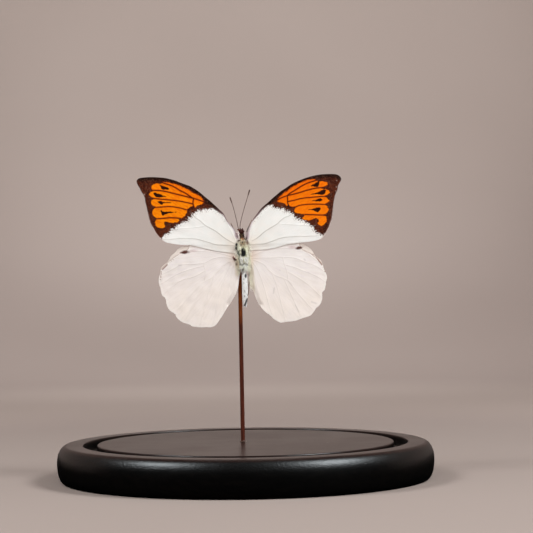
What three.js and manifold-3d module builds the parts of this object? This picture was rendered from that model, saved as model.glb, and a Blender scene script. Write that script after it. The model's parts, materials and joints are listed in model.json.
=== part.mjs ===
// A spread butterfly standing on a thin rod in a round turned base.
// Millimetres, +Z up. The origin is the centre of the base's underside.
// The upper side of the wings faces -Y, and the insect's left wings are on -X.
import * as THREE from "three";
import { mergeVertices } from "three/addons/utils/BufferGeometryUtils.js";
import Module from "manifold-3d";

// ---- driving dimensions -------------------------------------------------
const GAP = 0.3; // clearance between pieces that touch

const BASE_T = 16.5; // thickness of the turned base
const GROOVE_R_IN = 67.0; // edge of the middle disc
const GROOVE_R_OUT = 73.5; // outer wall of the groove that takes a dome's rim
const GROOVE_DEPTH = 5.0;
const BASE_SEGMENTS = 72;
// outer edge of the base from the underside up: radius, height
const BASE_EDGE = [
  [82.3, 0.0],
  [83.4, 0.7],
  [84.3, 2.4],
  [84.9, 4.8],
  [85.2, 7.9],
  [85.1, 10.6],
  [84.7, 12.8],
  [84.0, 14.7],
  [83.1, 15.9],
  [81.8, BASE_T],
];

const STEM_R = 0.85; // rod radius
const STEM_FOOT = [-1.2, 1.0]; // where the rod enters the base: X, Y
const STEM_TOP = [-1.7, 0.12, 103.6];
const STEM_SOCKET_DEPTH = 8.0; // blind hole in the base

// insect's body axis: middle of the thorax, and the lean of the axis
const BODY_AT = [-0.05, -3.2, 102.1];
const BODY_LEAN = (-3.0 * Math.PI) / 180; // turn about +Y, head to the left
const BODY_DEPTH = 0.92; // thorax depth over width
// thorax and neck: radius, height above BODY_AT
const THORAX = [
  [0, -7.9],
  [0.95, -7.8],
  [1.7, -6.9],
  [2.3, -5.1],
  [2.65, -2.6],
  [2.78, 0.0],
  [2.75, 2.2],
  [2.6, 4.0],
  [2.3, 5.3],
  [1.85, 6.2],
  [1.1, 6.9],
  [0.85, 7.6],
  [0.78, 8.4],
  [0, 8.4],
];
const HEAD_R = [1.3, 1.15, 1.05]; // half width, half depth, half height
const HEAD_Z = 9.75; // above BODY_AT
// abdomen: radius, height above BODY_AT
const ABDOMEN = [
  [0, -23.9],
  [0.42, -23.7],
  [0.8, -22.6],
  [1.08, -20.6],
  [1.22, -17.8],
  [1.22, -14.5],
  [1.18, -11.5],
  [1.08, -9.4],
  [0.8, -8.25],
  [0, -8.2],
];
const ABDOMEN_BEND = -0.0027; // sideways bend, per mm, past ABDOMEN_BEND_FROM
const ABDOMEN_BEND_FROM = -8.2;

const WING_T = 0.4;
const FOREWING_Y = -4.0; // rear face of the forewings
const HINDWING_Y = -3.25; // rear face of the hindwings, which tuck behind

// Wing outlines, X and Z, from the front edge at the root round to the root.
const FOREWING_LEFT = [
  [-1.4, 108.0], [-3.1, 109.4], [-3.5, 111.6], [-4.4, 113.5], [-5.9, 115.2],
  [-7.2, 117.2], [-8.5, 119.9], [-10.3, 121.7], [-12.5, 123.9],
  [-14.7, 125.9], [-17.0, 127.8], [-19.2, 129.7], [-21.4, 131.3],
  [-23.6, 132.6], [-25.9, 133.5], [-28.1, 134.3], [-30.3, 135.3],
  [-32.6, 135.9], [-34.8, 136.4], [-37.0, 136.7], [-41.5, 136.9],
  [-46.0, 136.6], [-47.3, 135.9], [-47.6, 135.2], [-47.5, 134.4],
  [-46.8, 133.0], [-45.9, 131.4], [-45.3, 130.1], [-44.4, 128.7],
  [-43.9, 127.5], [-43.7, 125.7], [-43.2, 123.5], [-42.8, 121.2],
  [-42.4, 119.0], [-42.0, 117.2], [-41.5, 115.6], [-40.5, 114.0],
  [-39.7, 112.2], [-38.6, 110.6], [-37.3, 109.2], [-36.5, 108.3],
  [-34.7, 107.4], [-32.9, 107.0], [-30.6, 106.5], [-28.4, 106.2],
  [-26.2, 106.1], [-23.9, 106.0], [-21.7, 105.5], [-19.4, 104.9],
  [-17.2, 104.3], [-14.9, 103.8], [-12.7, 103.3], [-10.4, 102.9],
  [-4.6, 102.2], [-1.4, 102.0],
];
const FOREWING_RIGHT = [
  [1.0, 107.4], [2.3, 108.8], [2.5, 111.5], [3.3, 113.8], [4.2, 116.5],
  [5.3, 118.2], [6.7, 120.0], [8.0, 121.7], [9.4, 123.0], [10.8, 124.2],
  [12.6, 125.7], [13.5, 126.6], [14.9, 127.7], [16.2, 128.8], [17.6, 129.9],
  [19.4, 131.0], [21.7, 132.6], [23.9, 133.8], [26.2, 134.7], [28.4, 135.5],
  [30.7, 136.2], [33.0, 136.7], [35.2, 137.1], [37.4, 137.2], [39.7, 137.3],
  [41.5, 137.2], [42.8, 137.0], [43.9, 136.5], [44.5, 135.8], [44.7, 135.1],
  [44.6, 134.3], [44.1, 133.4], [43.5, 132.6], [43.1, 131.8], [43.0, 130.7],
  [42.8, 129.8], [42.3, 128.9], [41.9, 127.8], [41.5, 126.4], [41.2, 125.1],
  [41.0, 123.3], [40.8, 121.5], [40.6, 119.7], [40.4, 117.8], [40.1, 116.5],
  [39.6, 115.2], [39.2, 113.8], [38.7, 112.7], [38.3, 111.9], [37.6, 110.7],
  [36.9, 109.6], [36.1, 108.7], [35.0, 107.9], [33.9, 107.6], [32.5, 107.2],
  [30.2, 106.9], [28.0, 106.7], [25.7, 106.5], [23.5, 106.2], [21.2, 105.9],
  [18.9, 105.5], [16.7, 104.8], [14.4, 104.3], [12.2, 103.8], [9.9, 103.6],
  [7.6, 103.5], [5.4, 103.4], [3.1, 103.0], [1.0, 102.8],
];
const HINDWING_LEFT = [
  [-1.6, 103.4], [-7.0, 105.2], [-13.0, 106.6], [-20.0, 106.9],
  [-25.3, 105.6], [-27.6, 105.2], [-29.4, 104.3], [-30.5, 103.0],
  [-32.1, 101.6], [-33.0, 100.5], [-33.5, 99.4], [-34.4, 98.3], [-35.8, 97.2],
  [-36.9, 96.1], [-37.3, 94.9], [-37.4, 93.8], [-37.7, 92.7], [-38.1, 91.3],
  [-38.3, 90.0], [-38.1, 88.9], [-37.9, 88.0], [-37.5, 86.8], [-37.3, 85.5],
  [-37.0, 84.3], [-36.7, 83.3], [-36.1, 82.9], [-35.4, 82.3], [-35.1, 81.4],
  [-35.0, 80.2], [-34.7, 78.9], [-34.2, 77.8], [-33.6, 76.8], [-32.7, 76.0],
  [-31.6, 75.4], [-30.8, 74.7], [-30.7, 74.0], [-30.0, 73.0], [-29.1, 72.2],
  [-28.0, 71.3], [-26.9, 70.9], [-25.3, 70.4], [-24.2, 69.9], [-23.5, 69.3],
  [-21.7, 69.1], [-19.9, 68.8], [-18.1, 68.9], [-16.8, 68.9], [-15.4, 68.8],
  [-14.3, 69.0], [-13.4, 69.3], [-12.7, 69.9], [-11.8, 71.0], [-10.8, 72.3],
  [-9.9, 73.7], [-9.2, 74.8], [-8.6, 75.8], [-7.6, 77.4], [-6.5, 79.0],
  [-5.3, 80.7], [-4.4, 82.2], [-3.5, 83.9], [-2.8, 85.7], [-2.4, 87.0],
  [-2.1, 89.5], [-1.7, 92.5], [-1.6, 95.5],
];
const HINDWING_RIGHT = [
  [1.4, 103.2], [7.0, 105.2], [14.0, 106.7], [21.0, 107.0], [26.6, 106.0],
  [28.0, 105.1], [29.3, 104.4], [30.2, 103.8], [31.1, 102.8], [31.8, 101.7],
  [32.2, 100.8], [33.1, 99.9], [34.2, 99.1], [34.9, 98.6], [35.4, 97.8],
  [35.8, 96.7], [36.1, 95.5], [36.4, 94.4], [36.9, 93.5], [37.3, 92.4],
  [37.7, 91.2], [37.7, 90.3], [37.5, 89.4], [37.3, 88.5], [37.1, 87.2],
  [36.8, 85.8], [36.5, 84.9], [35.9, 84.3], [35.4, 83.8], [35.4, 82.7],
  [35.5, 81.3], [35.2, 80.2], [34.9, 79.3], [34.3, 78.3], [33.5, 77.5],
  [32.6, 76.7], [32.1, 75.9], [31.4, 75.0], [30.7, 74.2], [29.8, 73.3],
  [28.5, 72.9], [26.6, 72.4], [25.3, 71.9], [23.5, 71.3], [21.7, 71.0],
  [19.9, 70.9], [18.0, 70.6], [16.7, 70.5], [15.8, 70.7], [14.7, 71.4],
  [13.3, 72.2], [12.2, 73.5], [10.9, 74.5], [9.5, 75.6], [8.2, 77.0],
  [7.1, 78.5], [6.2, 80.1], [5.5, 81.5], [5.0, 83.1], [4.3, 85.2],
  [3.5, 87.6], [3.0, 90.0], [2.8, 94.0], [1.6, 97.5],
];

const ANTENNA_R = 0.22;
const ANTENNA_CLUB = [0.4, 1.5]; // radius and half length
// from the front of the head to the tip
const ANTENNA_LEFT = [
  [-1.75, -3.7, 112.9], [-2.4, -3.8, 115.2], [-3.0, -3.9, 117.95],
  [-4.2, -4.0, 122.9], [-5.6, -4.0, 127.4],
];
const ANTENNA_RIGHT = [
  [-1.3, -4.0, 113.0], [-0.95, -4.1, 116.1], [0.66, -4.2, 122.0],
  [2.08, -4.2, 126.5], [3.35, -4.2, 130.7],
];

const LEG_R = 0.25;
// from the underside of the thorax, out and along
const LEGS = {
  foreleg_left: [
    [-1.6, -1.6, 105.6], [-2.8, -0.9, 109.0], [-3.9, -1.2, 112.4],
    [-5.3, -1.5, 115.6],
  ],
  foreleg_right: [
    [1.0, -1.6, 105.6], [1.8, -0.9, 109.0], [1.8, -1.2, 111.6],
    [2.85, -1.5, 114.3], [4.2, -1.8, 117.0],
  ],
  midleg_left: [
    [-2.2, -1.4, 101.4], [-3.9, 0.2, 99.0], [-4.2, 0.7, 94.5],
    [-3.8, 0.2, 90.0],
  ],
  midleg_right: [
    [1.9, -1.4, 101.4], [3.4, 0.2, 99.0], [3.6, 0.7, 94.5],
    [3.2, 0.2, 89.5],
  ],
  hindleg_left: [
    [-1.9, -1.6, 97.8], [-3.0, -1.3, 94.6], [-3.3, -1.4, 89.5],
    [-3.2, -1.6, 84.4],
  ],
  hindleg_right: [
    [1.6, -1.6, 97.8], [2.6, -1.3, 94.6], [2.5, -1.4, 88.5],
    [2.1, -1.5, 83.2],
  ],
};

// ---- materials ----------------------------------------------------------
const mat = (color, roughness, metalness = 0) =>
  new THREE.MeshStandardMaterial({ color, roughness, metalness });
const baseMat = mat(0x1a1210, 0.35);
const stemMat = mat(0x6e3014, 0.4, 0.6);
const furMat = mat(0xcfcbb4, 0.95);
const abdomenMat = mat(0xd5d8d6, 0.85);
const headMat = mat(0x3a2018, 0.7);
const forewingMat = mat(0xf0b070, 0.75);
const hindwingMat = mat(0xf1e6da, 0.8);
const limbMat = mat(0x5c463a, 0.6);

// ---- solids -------------------------------------------------------------
const wasm = await Module();
wasm.setup();

function toSolid(geometry) {
  const bare = new THREE.BufferGeometry();
  const src = geometry.index ? geometry.toNonIndexed() : geometry;
  bare.setAttribute("position", src.getAttribute("position").clone());
  const merged = mergeVertices(bare, 1e-4);
  return new wasm.Manifold(
    new wasm.Mesh({
      numProp: 3,
      vertProperties: new Float32Array(merged.attributes.position.array),
      triVerts: new Uint32Array(merged.index.array),
    }),
  );
}
function toGeometry(solid) {
  const m = solid.getMesh();
  const v = new Float32Array(m.numVert * 3);
  for (let i = 0; i < m.numVert; i++)
    v.set(m.vertProperties.subarray(i * m.numProp, i * m.numProp + 3), i * 3);
  return new THREE.BufferGeometry()
    .setAttribute("position", new THREE.BufferAttribute(v, 3))
    .setIndex(new THREE.BufferAttribute(new Uint32Array(m.triVerts), 1));
}
const V2 = (p) => new THREE.Vector2(p[0], p[1]);
const V3 = (p) => new THREE.Vector3(p[0], p[1], p[2]);

// a turned solid about +Z
function turned(profile, segments) {
  return new THREE.LatheGeometry(profile.map(V2), segments).rotateX(
    Math.PI / 2,
  );
}
// a round rod along a smooth path
function rod(points, radius, sides, steps) {
  const section = new THREE.Shape();
  for (let i = 0; i < sides; i++) {
    const a = (i / sides) * 2 * Math.PI;
    const x = radius * Math.cos(a),
      y = radius * Math.sin(a);
    i ? section.lineTo(x, y) : section.moveTo(x, y);
  }
  section.closePath();
  return new THREE.ExtrudeGeometry(section, {
    steps,
    extrudePath: new THREE.CatmullRomCurve3(points.map(V3)),
  });
}
// a thin plate in the XZ plane whose rear face is at y
function plate(outline, thickness, y) {
  const g = new THREE.ExtrudeGeometry(new THREE.Shape(outline.map(V2)), {
    depth: thickness,
    bevelEnabled: false,
    curveSegments: 1,
  });
  return g.rotateX(Math.PI / 2).translate(0, y, 0);
}
// body pieces are made about their own axis, then leaned and placed
function placeBody(g) {
  return g
    .scale(1, BODY_DEPTH, 1)
    .rotateY(BODY_LEAN)
    .translate(BODY_AT[0], BODY_AT[1], BODY_AT[2]);
}
const grow = (profile, by) =>
  profile.map(([r, z], i) => [
    r > 0 ? r + by : 0,
    i < profile.length / 2 && r < 1 ? z - by : r < 1 ? z + by : z,
  ]);

// base: turned disc with the dome groove and the rod's blind socket
const baseProfile = [
  [0, 0],
  ...BASE_EDGE,
  [GROOVE_R_OUT, BASE_T],
  [GROOVE_R_OUT, BASE_T - GROOVE_DEPTH],
  [GROOVE_R_IN, BASE_T - GROOVE_DEPTH],
  [GROOVE_R_IN, BASE_T],
  [0, BASE_T],
];
const socket = new THREE.CylinderGeometry(
  STEM_R + GAP,
  STEM_R + GAP,
  STEM_SOCKET_DEPTH + 2,
  16,
)
  .rotateX(Math.PI / 2)
  .translate(
    STEM_FOOT[0],
    STEM_FOOT[1],
    BASE_T - STEM_SOCKET_DEPTH + (STEM_SOCKET_DEPTH + 2) / 2,
  );
const baseSolid = toSolid(turned(baseProfile, BASE_SEGMENTS)).subtract(
  toSolid(socket),
);

// stem: straight rod from the socket to the back of the thorax
const stemLow = BASE_T - STEM_SOCKET_DEPTH + GAP;
const rise = (stemLow - BASE_T) / (STEM_TOP[2] - BASE_T);
const stemGeometry = rod(
  [
    [
      STEM_FOOT[0] + (STEM_TOP[0] - STEM_FOOT[0]) * rise,
      STEM_FOOT[1] + (STEM_TOP[1] - STEM_FOOT[1]) * rise,
      stemLow,
    ],
    [
      (STEM_FOOT[0] + STEM_TOP[0]) / 2,
      (STEM_FOOT[1] + STEM_TOP[1]) / 2,
      (BASE_T + STEM_TOP[2]) / 2,
    ],
    STEM_TOP,
  ],
  STEM_R,
  12,
  6,
);

// body
const thoraxSolid = toSolid(placeBody(turned(THORAX, 24)));
const thoraxClear = toSolid(placeBody(turned(grow(THORAX, GAP), 24)));
const headGeometry = (by) =>
  placeBody(
    new THREE.SphereGeometry(1, 18, 10)
      .rotateX(Math.PI / 2)
      .scale(HEAD_R[0] + by, (HEAD_R[1] + by) / BODY_DEPTH, HEAD_R[2] + by)
      .translate(0, 0, HEAD_Z),
  );
const headSolid = toSolid(headGeometry(0)).subtract(thoraxClear);
const headClear = toSolid(headGeometry(GAP));
const abdomenTurned = (profile) => {
  const g = turned(profile, 20);
  const p = g.getAttribute("position");
  for (let i = 0; i < p.count; i++) {
    const d = Math.max(0, ABDOMEN_BEND_FROM - p.getZ(i));
    p.setX(i, p.getX(i) + ABDOMEN_BEND * d * d);
  }
  return placeBody(g);
};
const abdomenSolid = toSolid(abdomenTurned(ABDOMEN)).subtract(thoraxClear);
const abdomenClear = toSolid(abdomenTurned(grow(ABDOMEN, GAP)));

const clear = (solid, ...others) =>
  others.reduce((s, o) => s.subtract(o), solid);
const wing = (outline, y) =>
  clear(toSolid(plate(outline, WING_T, y)), thoraxClear, abdomenClear);

// antennae: shaft with a slim club at the tip, butted to the head
function antenna(points) {
  const tip = V3(points[points.length - 1]),
    before = V3(points[points.length - 2]);
  const along = tip.clone().sub(before).normalize();
  const club = new THREE.SphereGeometry(1, 10, 8)
    .scale(ANTENNA_CLUB[0], ANTENNA_CLUB[1], ANTENNA_CLUB[0])
    .applyQuaternion(
      new THREE.Quaternion().setFromUnitVectors(
        new THREE.Vector3(0, 1, 0),
        along,
      ),
    )
    .translate(
      tip.x - along.x * ANTENNA_CLUB[1],
      tip.y - along.y * ANTENNA_CLUB[1],
      tip.z - along.z * ANTENNA_CLUB[1],
    );
  const end = tip.clone().addScaledVector(along, -ANTENNA_CLUB[1]);
  const path = [...points.slice(0, -1), [end.x, end.y, end.z]];
  return clear(
    toSolid(rod(path, ANTENNA_R, 6, 14)).add(toSolid(club)),
    headClear,
  );
}
const leg = (points) =>
  clear(toSolid(rod(points, LEG_R, 6, 16)), thoraxClear);

// ---- scene graph --------------------------------------------------------
const group = new THREE.Group();
function piece(name, geometry, material) {
  const mesh = new THREE.Mesh(geometry, material);
  mesh.name = name;
  group.add(mesh);
}
piece("base", toGeometry(baseSolid), baseMat);
piece("stem", stemGeometry, stemMat);
piece("thorax", toGeometry(thoraxSolid), furMat);
piece("head", toGeometry(headSolid), headMat);
piece("abdomen", toGeometry(abdomenSolid), abdomenMat);
piece(
  "forewing_left",
  toGeometry(wing(FOREWING_LEFT, FOREWING_Y)),
  forewingMat,
);
piece(
  "forewing_right",
  toGeometry(wing(FOREWING_RIGHT, FOREWING_Y)),
  forewingMat,
);
piece(
  "hindwing_left",
  toGeometry(wing(HINDWING_LEFT, HINDWING_Y)),
  hindwingMat,
);
piece(
  "hindwing_right",
  toGeometry(wing(HINDWING_RIGHT, HINDWING_Y)),
  hindwingMat,
);
piece("antenna_left", toGeometry(antenna(ANTENNA_LEFT)), limbMat);
piece("antenna_right", toGeometry(antenna(ANTENNA_RIGHT)), limbMat);
for (const [name, points] of Object.entries(LEGS))
  piece(name, toGeometry(leg(points)), limbMat);

export default group;
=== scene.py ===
# Looks of a spread butterfly on a thin rod in a round lacquered base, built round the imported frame.
# Shapes are worked out in millimetres in the part's own frame (origin under the middle of the base,
# +Z up, upper side of the wings towards -Y) and turned into metres as each mesh is made.
import json
import math

import bpy
import numpy as np
from mathutils import Matrix, Vector
from mathutils.geometry import delaunay_2d_cdt

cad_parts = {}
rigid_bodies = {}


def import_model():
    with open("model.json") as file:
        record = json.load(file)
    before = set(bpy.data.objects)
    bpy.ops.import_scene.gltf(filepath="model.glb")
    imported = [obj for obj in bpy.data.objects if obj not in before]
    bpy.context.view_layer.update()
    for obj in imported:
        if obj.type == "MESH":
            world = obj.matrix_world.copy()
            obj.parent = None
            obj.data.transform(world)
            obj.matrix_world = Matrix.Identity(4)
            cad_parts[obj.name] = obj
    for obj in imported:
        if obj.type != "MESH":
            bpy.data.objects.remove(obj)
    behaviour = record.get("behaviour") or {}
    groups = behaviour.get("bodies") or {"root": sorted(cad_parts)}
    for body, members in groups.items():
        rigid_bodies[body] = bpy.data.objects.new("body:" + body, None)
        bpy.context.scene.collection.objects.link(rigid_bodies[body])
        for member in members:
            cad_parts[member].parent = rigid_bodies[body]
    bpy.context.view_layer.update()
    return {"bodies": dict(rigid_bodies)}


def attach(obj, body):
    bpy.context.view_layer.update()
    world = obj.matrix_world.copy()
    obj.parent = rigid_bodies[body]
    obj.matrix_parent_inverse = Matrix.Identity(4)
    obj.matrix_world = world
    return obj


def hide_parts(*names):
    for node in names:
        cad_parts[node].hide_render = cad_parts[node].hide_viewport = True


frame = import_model()

# ---------------------------------------------------------------------------------------------
# Wing shapes and markings: X and Z in millimetres
# ---------------------------------------------------------------------------------------------
FORE_LEFT_OUTLINE = [
    (-1.4, 108), (-3.12, 109.37), (-3.54, 111.63), (-4.41, 113.45), (-5.9, 115.16),
    (-7.23, 117.23), (-8.54, 119.94), (-10.3, 121.74), (-12.52, 123.88), (-14.74, 125.94),
    (-16.97, 127.81), (-19.2, 129.73), (-21.41, 131.33), (-23.63, 132.61), (-25.86, 133.49),
    (-28.1, 134.33), (-30.34, 135.26), (-32.57, 135.92), (-34.8, 136.44), (-37.03, 136.69),
    (-41.52, 136.93), (-46, 136.58), (-47.27, 135.88), (-47.58, 135.19), (-47.46, 134.37),
    (-46.82, 133.04), (-45.94, 131.45), (-45.28, 130.09), (-44.4, 128.72), (-43.94, 127.54),
    (-43.74, 125.73), (-43.19, 123.47), (-42.81, 121.21), (-42.35, 118.95), (-41.97, 117.15),
    (-41.5, 115.6), (-40.54, 114.02), (-39.67, 112.21), (-38.57, 110.64), (-37.26, 109.15),
    (-36.46, 108.3), (-34.68, 107.38), (-32.9, 107), (-30.65, 106.52), (-28.41, 106.22),
    (-26.16, 106.07), (-23.91, 105.95), (-21.66, 105.47), (-19.41, 104.9), (-17.17, 104.32),
    (-14.92, 103.8), (-12.67, 103.27), (-10.42, 102.88), (-4.57, 102.17), (-1.4, 102),
]
FORE_LEFT_ORANGE = [
    (-36.32, 134.92), (-34.65, 134.94), (-32.41, 134.6), (-30.16, 134.03), (-27.92, 133.19),
    (-25.68, 132.07), (-23.44, 130.92), (-21.2, 129.58), (-18.96, 128.38), (-17.63, 127.01),
    (-16.84, 125.55), (-17.66, 124.66), (-19.02, 124.09), (-20.38, 123.66), (-21.47, 122.91),
    (-22.18, 123.68), (-22.64, 123.46), (-23.54, 123.03), (-24.45, 122.59), (-25.23, 122.01),
    (-25.1, 121.24), (-25.29, 120.34), (-25.94, 119.31), (-26.76, 118.56), (-27.67, 118.21),
    (-28.8, 117.86), (-28.49, 117.14), (-29.27, 116.51), (-30.85, 116.22), (-32.65, 116.24),
    (-34, 116.58), (-34.99, 116.91), (-35.53, 116.42), (-35.5, 115.69), (-35.01, 114.88),
    (-35.29, 114.16), (-36.07, 113.76), (-37.19, 113.78), (-38.18, 114.11), (-38.98, 114.84),
    (-39.51, 115.93), (-39.45, 116.92), (-38.94, 117.72), (-38.26, 118.08), (-39.6, 118.73),
    (-40.45, 119.86), (-40.7, 120.99), (-40.42, 122.07), (-39.77, 122.88), (-38.64, 123.36),
    (-39.99, 123.87), (-40.83, 124.51), (-41.36, 125.42), (-40.99, 126.41), (-40.26, 126.94),
    (-39.27, 127.2), (-40.7, 127.62), (-41.51, 128.13), (-41.99, 128.9), (-41.76, 129.76),
    (-41.12, 130.38), (-39.89, 130.77), (-40.74, 131.28), (-41.09, 132), (-40.99, 132.72),
    (-40.44, 133.39), (-39.4, 133.97), (-38.27, 134.09), (-37.15, 133.94), (-36.47, 134.38),
]
FORE_LEFT_ARROWS = [
    [
        (-37.37, 133.53), (-35.16, 132.6), (-33.16, 131.68), (-33.81, 131.2), (-36.03, 131.45),
        (-36.9, 132.47),
    ],
    [
        (-39.68, 129.95), (-37.01, 129.01), (-34.35, 127.98), (-36.56, 127.76), (-38.79, 127.78),
        (-39.73, 129.12),
    ],
    [
        (-38.33, 125.68), (-37.03, 125.94), (-35.24, 125.47), (-31.68, 125.25), (-35.25, 125.04),
        (-36.38, 124.46), (-37.46, 124.92),
    ],
    [
        (-36.81, 121.82), (-35.75, 121.19), (-32.59, 121.06), (-29.92, 120.9), (-33.51, 120.5),
        (-35.55, 119.63), (-36.39, 119.93),
    ],
]
FORE_LEFT_ORANGE_VEINS = {
    "R": [
        (-36.91, 134.7), (-34.67, 133.86), (-32.42, 133.15), (-30.19, 132.04), (-27.95, 130.62),
        (-25.71, 129.46), (-23.03, 127.62), (-21.91, 127.06),
    ],
    "Rc": [
        (-21.91, 127.06), (-19.44, 126.22), (-16.75, 125.19),
    ],
    "M1": [
        (-41.47, 130.93), (-39.22, 130.9), (-36.96, 130.73), (-34.72, 130.39), (-32.47, 129.82),
        (-30.22, 129.2), (-27.98, 128.63), (-25.73, 128.02), (-22.14, 127.07),
    ],
    "M2": [
        (-42.42, 127.56), (-39.27, 127.2), (-37.02, 126.94), (-32.51, 126.48), (-28.01, 125.84),
        (-23.52, 124.83), (-22.17, 124.36),
    ],
    "M3": [
        (-41.57, 123.26), (-39.32, 123.23), (-37.06, 123.34), (-32.55, 123.5), (-28.06, 122.77),
        (-25.36, 122.01), (-23.55, 122.35),
    ],
    "Cu": [
        (-40.74, 118.06), (-39.39, 118.05), (-37.13, 118.15), (-32.62, 118.45), (-28.12, 118.12),
        (-26.32, 117.65),
    ],
    "X": [
        (-21.91, 127.06), (-22.25, 125.71), (-22.26, 124.36), (-21.83, 123),
    ],
}
FORE_LEFT_DARK = [
    (-37.17, 108.88), (-35.12, 110.65), (-33.07, 112.2), (-32.38, 113.32), (-31.02, 113.53),
    (-30.33, 114.65), (-29.19, 115.31), (-27.83, 116.19), (-26.47, 116.85), (-24.88, 117.51),
    (-25.09, 118.41), (-23.73, 119.07), (-23.05, 119.74), (-23.48, 120.87), (-22.36, 120.18),
    (-21.45, 121.3), (-20.08, 122.18), (-18.74, 121.71), (-17.37, 122.6), (-16.02, 122.26),
    (-14.66, 123.01), (-13.31, 122.86), (-12.41, 122.31), (-10.63, 120.93), (-8.39, 119.55),
]
FORE_LEFT_WHITE_VEINS = {
    "cell": [
        (-3.92, 106.53), (-7.95, 108.84), (-12.41, 112.28), (-16.89, 114.82), (-19.12, 116.88),
        (-21.35, 118.49), (-22.91, 120.08),
    ],
    "anal": [
        (-4.38, 105.63), (-7.99, 105.77), (-12.5, 106.19), (-16.99, 107.6), (-21.48, 108.79),
        (-28.24, 109.1), (-33.65, 108.73), (-36.81, 108.95),
    ],
    "cu2": [
        (-16.89, 114.82), (-19.6, 114.18), (-24.12, 113.79), (-29.98, 113.41), (-35.85, 112.81),
    ],
    "radius": [
        (-3.23, 107.64), (-5.2, 111.96), (-7.4, 116.27), (-10.06, 119.92), (-12.73, 122.43),
        (-15.41, 123.91),
    ],
}
FORE_RIGHT_OUTLINE = [
    (1, 107.4), (2.29, 108.85), (2.55, 111.55), (3.26, 113.8), (4.2, 116.49), (5.3, 118.18),
    (6.66, 119.95), (8.03, 121.73), (9.39, 123.05), (10.75, 124.15), (12.58, 125.71),
    (13.5, 126.6), (14.86, 127.71), (16.23, 128.82), (17.59, 129.92), (19.4, 131.02),
    (21.67, 132.57), (23.93, 133.75), (26.19, 134.7), (28.44, 135.53), (30.7, 136.22),
    (32.95, 136.73), (35.2, 137.1), (37.44, 137.25), (39.69, 137.31), (41.48, 137.25),
    (42.79, 137.01), (43.85, 136.48), (44.47, 135.81), (44.74, 135.13), (44.56, 134.32),
    (44.07, 133.45), (43.52, 132.56), (43.12, 131.83), (43.01, 130.69), (42.79, 129.83),
    (42.33, 128.94), (41.85, 127.8), (41.51, 126.43), (41.22, 125.07), (40.97, 123.26),
    (40.77, 121.45), (40.56, 119.65), (40.4, 117.85), (40.12, 116.53), (39.65, 115.19),
    (39.18, 113.85), (38.72, 112.74), (38.27, 111.86), (37.58, 110.74), (36.9, 109.64),
    (36.11, 108.67), (34.98, 107.93), (33.86, 107.59), (32.5, 107.24), (30.25, 106.9),
    (27.99, 106.7), (25.73, 106.51), (23.47, 106.18), (21.21, 105.94), (18.94, 105.47),
    (16.68, 104.82), (14.41, 104.27), (12.15, 103.84), (9.89, 103.56), (7.63, 103.45),
    (5.38, 103.39), (3.12, 102.97), (1, 102.8),
]
FORE_RIGHT_ORANGE = [
    (33.58, 134.77), (32.87, 135.28), (31.06, 135.48), (29.71, 135.23), (28.34, 134.8),
    (26.08, 133.88), (23.8, 132.73), (21.53, 131.36), (20.16, 130.3), (18.34, 129.19),
    (16.97, 127.95), (15.82, 126.79), (15.67, 125.71), (16.02, 124.98), (16.92, 124.61),
    (18.27, 124.41), (19.17, 124.04), (19.61, 123.4), (20.15, 122.94), (20.61, 123.7),
    (21.06, 123.29), (21.86, 122.83), (22.99, 122.54), (23.89, 122.49), (23.66, 121.9),
    (23.29, 121.19), (23.46, 120.42), (24.08, 119.87), (25.43, 119.53), (26.78, 119.29),
    (27.91, 119.09), (27.67, 118.42), (27.12, 117.7), (26.85, 117.35), (27.43, 116.89),
    (28.33, 116.56), (29.45, 116.5), (30.81, 116.71), (32.17, 117.14), (33.08, 117.36),
    (33.89, 117.07), (34.38, 116.48), (34.28, 115.76), (33.9, 115), (34.21, 114.54),
    (34.84, 114.17), (35.51, 113.8), (36.2, 114.15), (36.93, 114.69), (37.57, 115.49),
    (37.9, 116.39), (37.96, 117.38), (37.6, 118.11), (36.93, 118.57), (35.81, 118.81),
    (37.07, 119.02), (37.85, 119.46), (38.45, 120.26), (38.82, 121.34), (38.52, 122.34),
    (37.81, 123.07), (36.77, 123.49), (37.68, 124.11), (38.73, 124.69), (39.51, 125.31),
    (38.75, 126.04), (37.85, 126.68), (36.82, 127.1), (37.73, 127.63), (38.73, 127.98),
    (39.78, 128.73), (39.29, 129.51), (38.67, 130.06), (37.86, 130.29), (36.42, 130.67),
    (35.52, 131.23), (37.11, 131.61), (38.15, 132.1), (38.71, 132.86), (38.26, 133.54),
    (37.36, 133.96), (36.01, 134.16), (35.11, 133.99), (34.43, 134.04), (33.85, 134.32),
]
FORE_RIGHT_ARROWS = [
    [
        (31.07, 131.99), (32.41, 132.71), (33.77, 133.55), (34.42, 133.81), (34.77, 133.4),
        (34.58, 132.48), (34.15, 131.83), (33.04, 131.58), (31.93, 131.73),
    ],
    [
        (31, 128.26), (32.79, 128.5), (33.94, 129.03), (35.3, 129.69), (36.43, 130.22),
        (37.53, 130.38), (37.8, 129.93), (37.48, 129.28), (37.25, 128.61), (36.81, 128.05),
        (35.93, 127.85), (34.59, 128.13), (33.23, 128.29),
    ],
    [
        (30.53, 125.24), (31.84, 125.35), (33.66, 125.87), (34.56, 126.13), (35.44, 126.21),
        (36.03, 125.78), (35.78, 125.36), (34.76, 125.06), (33.18, 125.13), (31.83, 125.24),
    ],
    [
        (27.95, 121.4), (29.52, 121.28), (31.34, 121.52), (32.7, 121.82), (34.06, 122.17),
        (34.71, 122.25), (35.22, 121.81), (35.29, 121.41), (34.9, 120.98), (34, 120.24),
        (33.36, 120.34), (32.24, 120.94), (30.43, 121.24),
    ],
]
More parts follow.
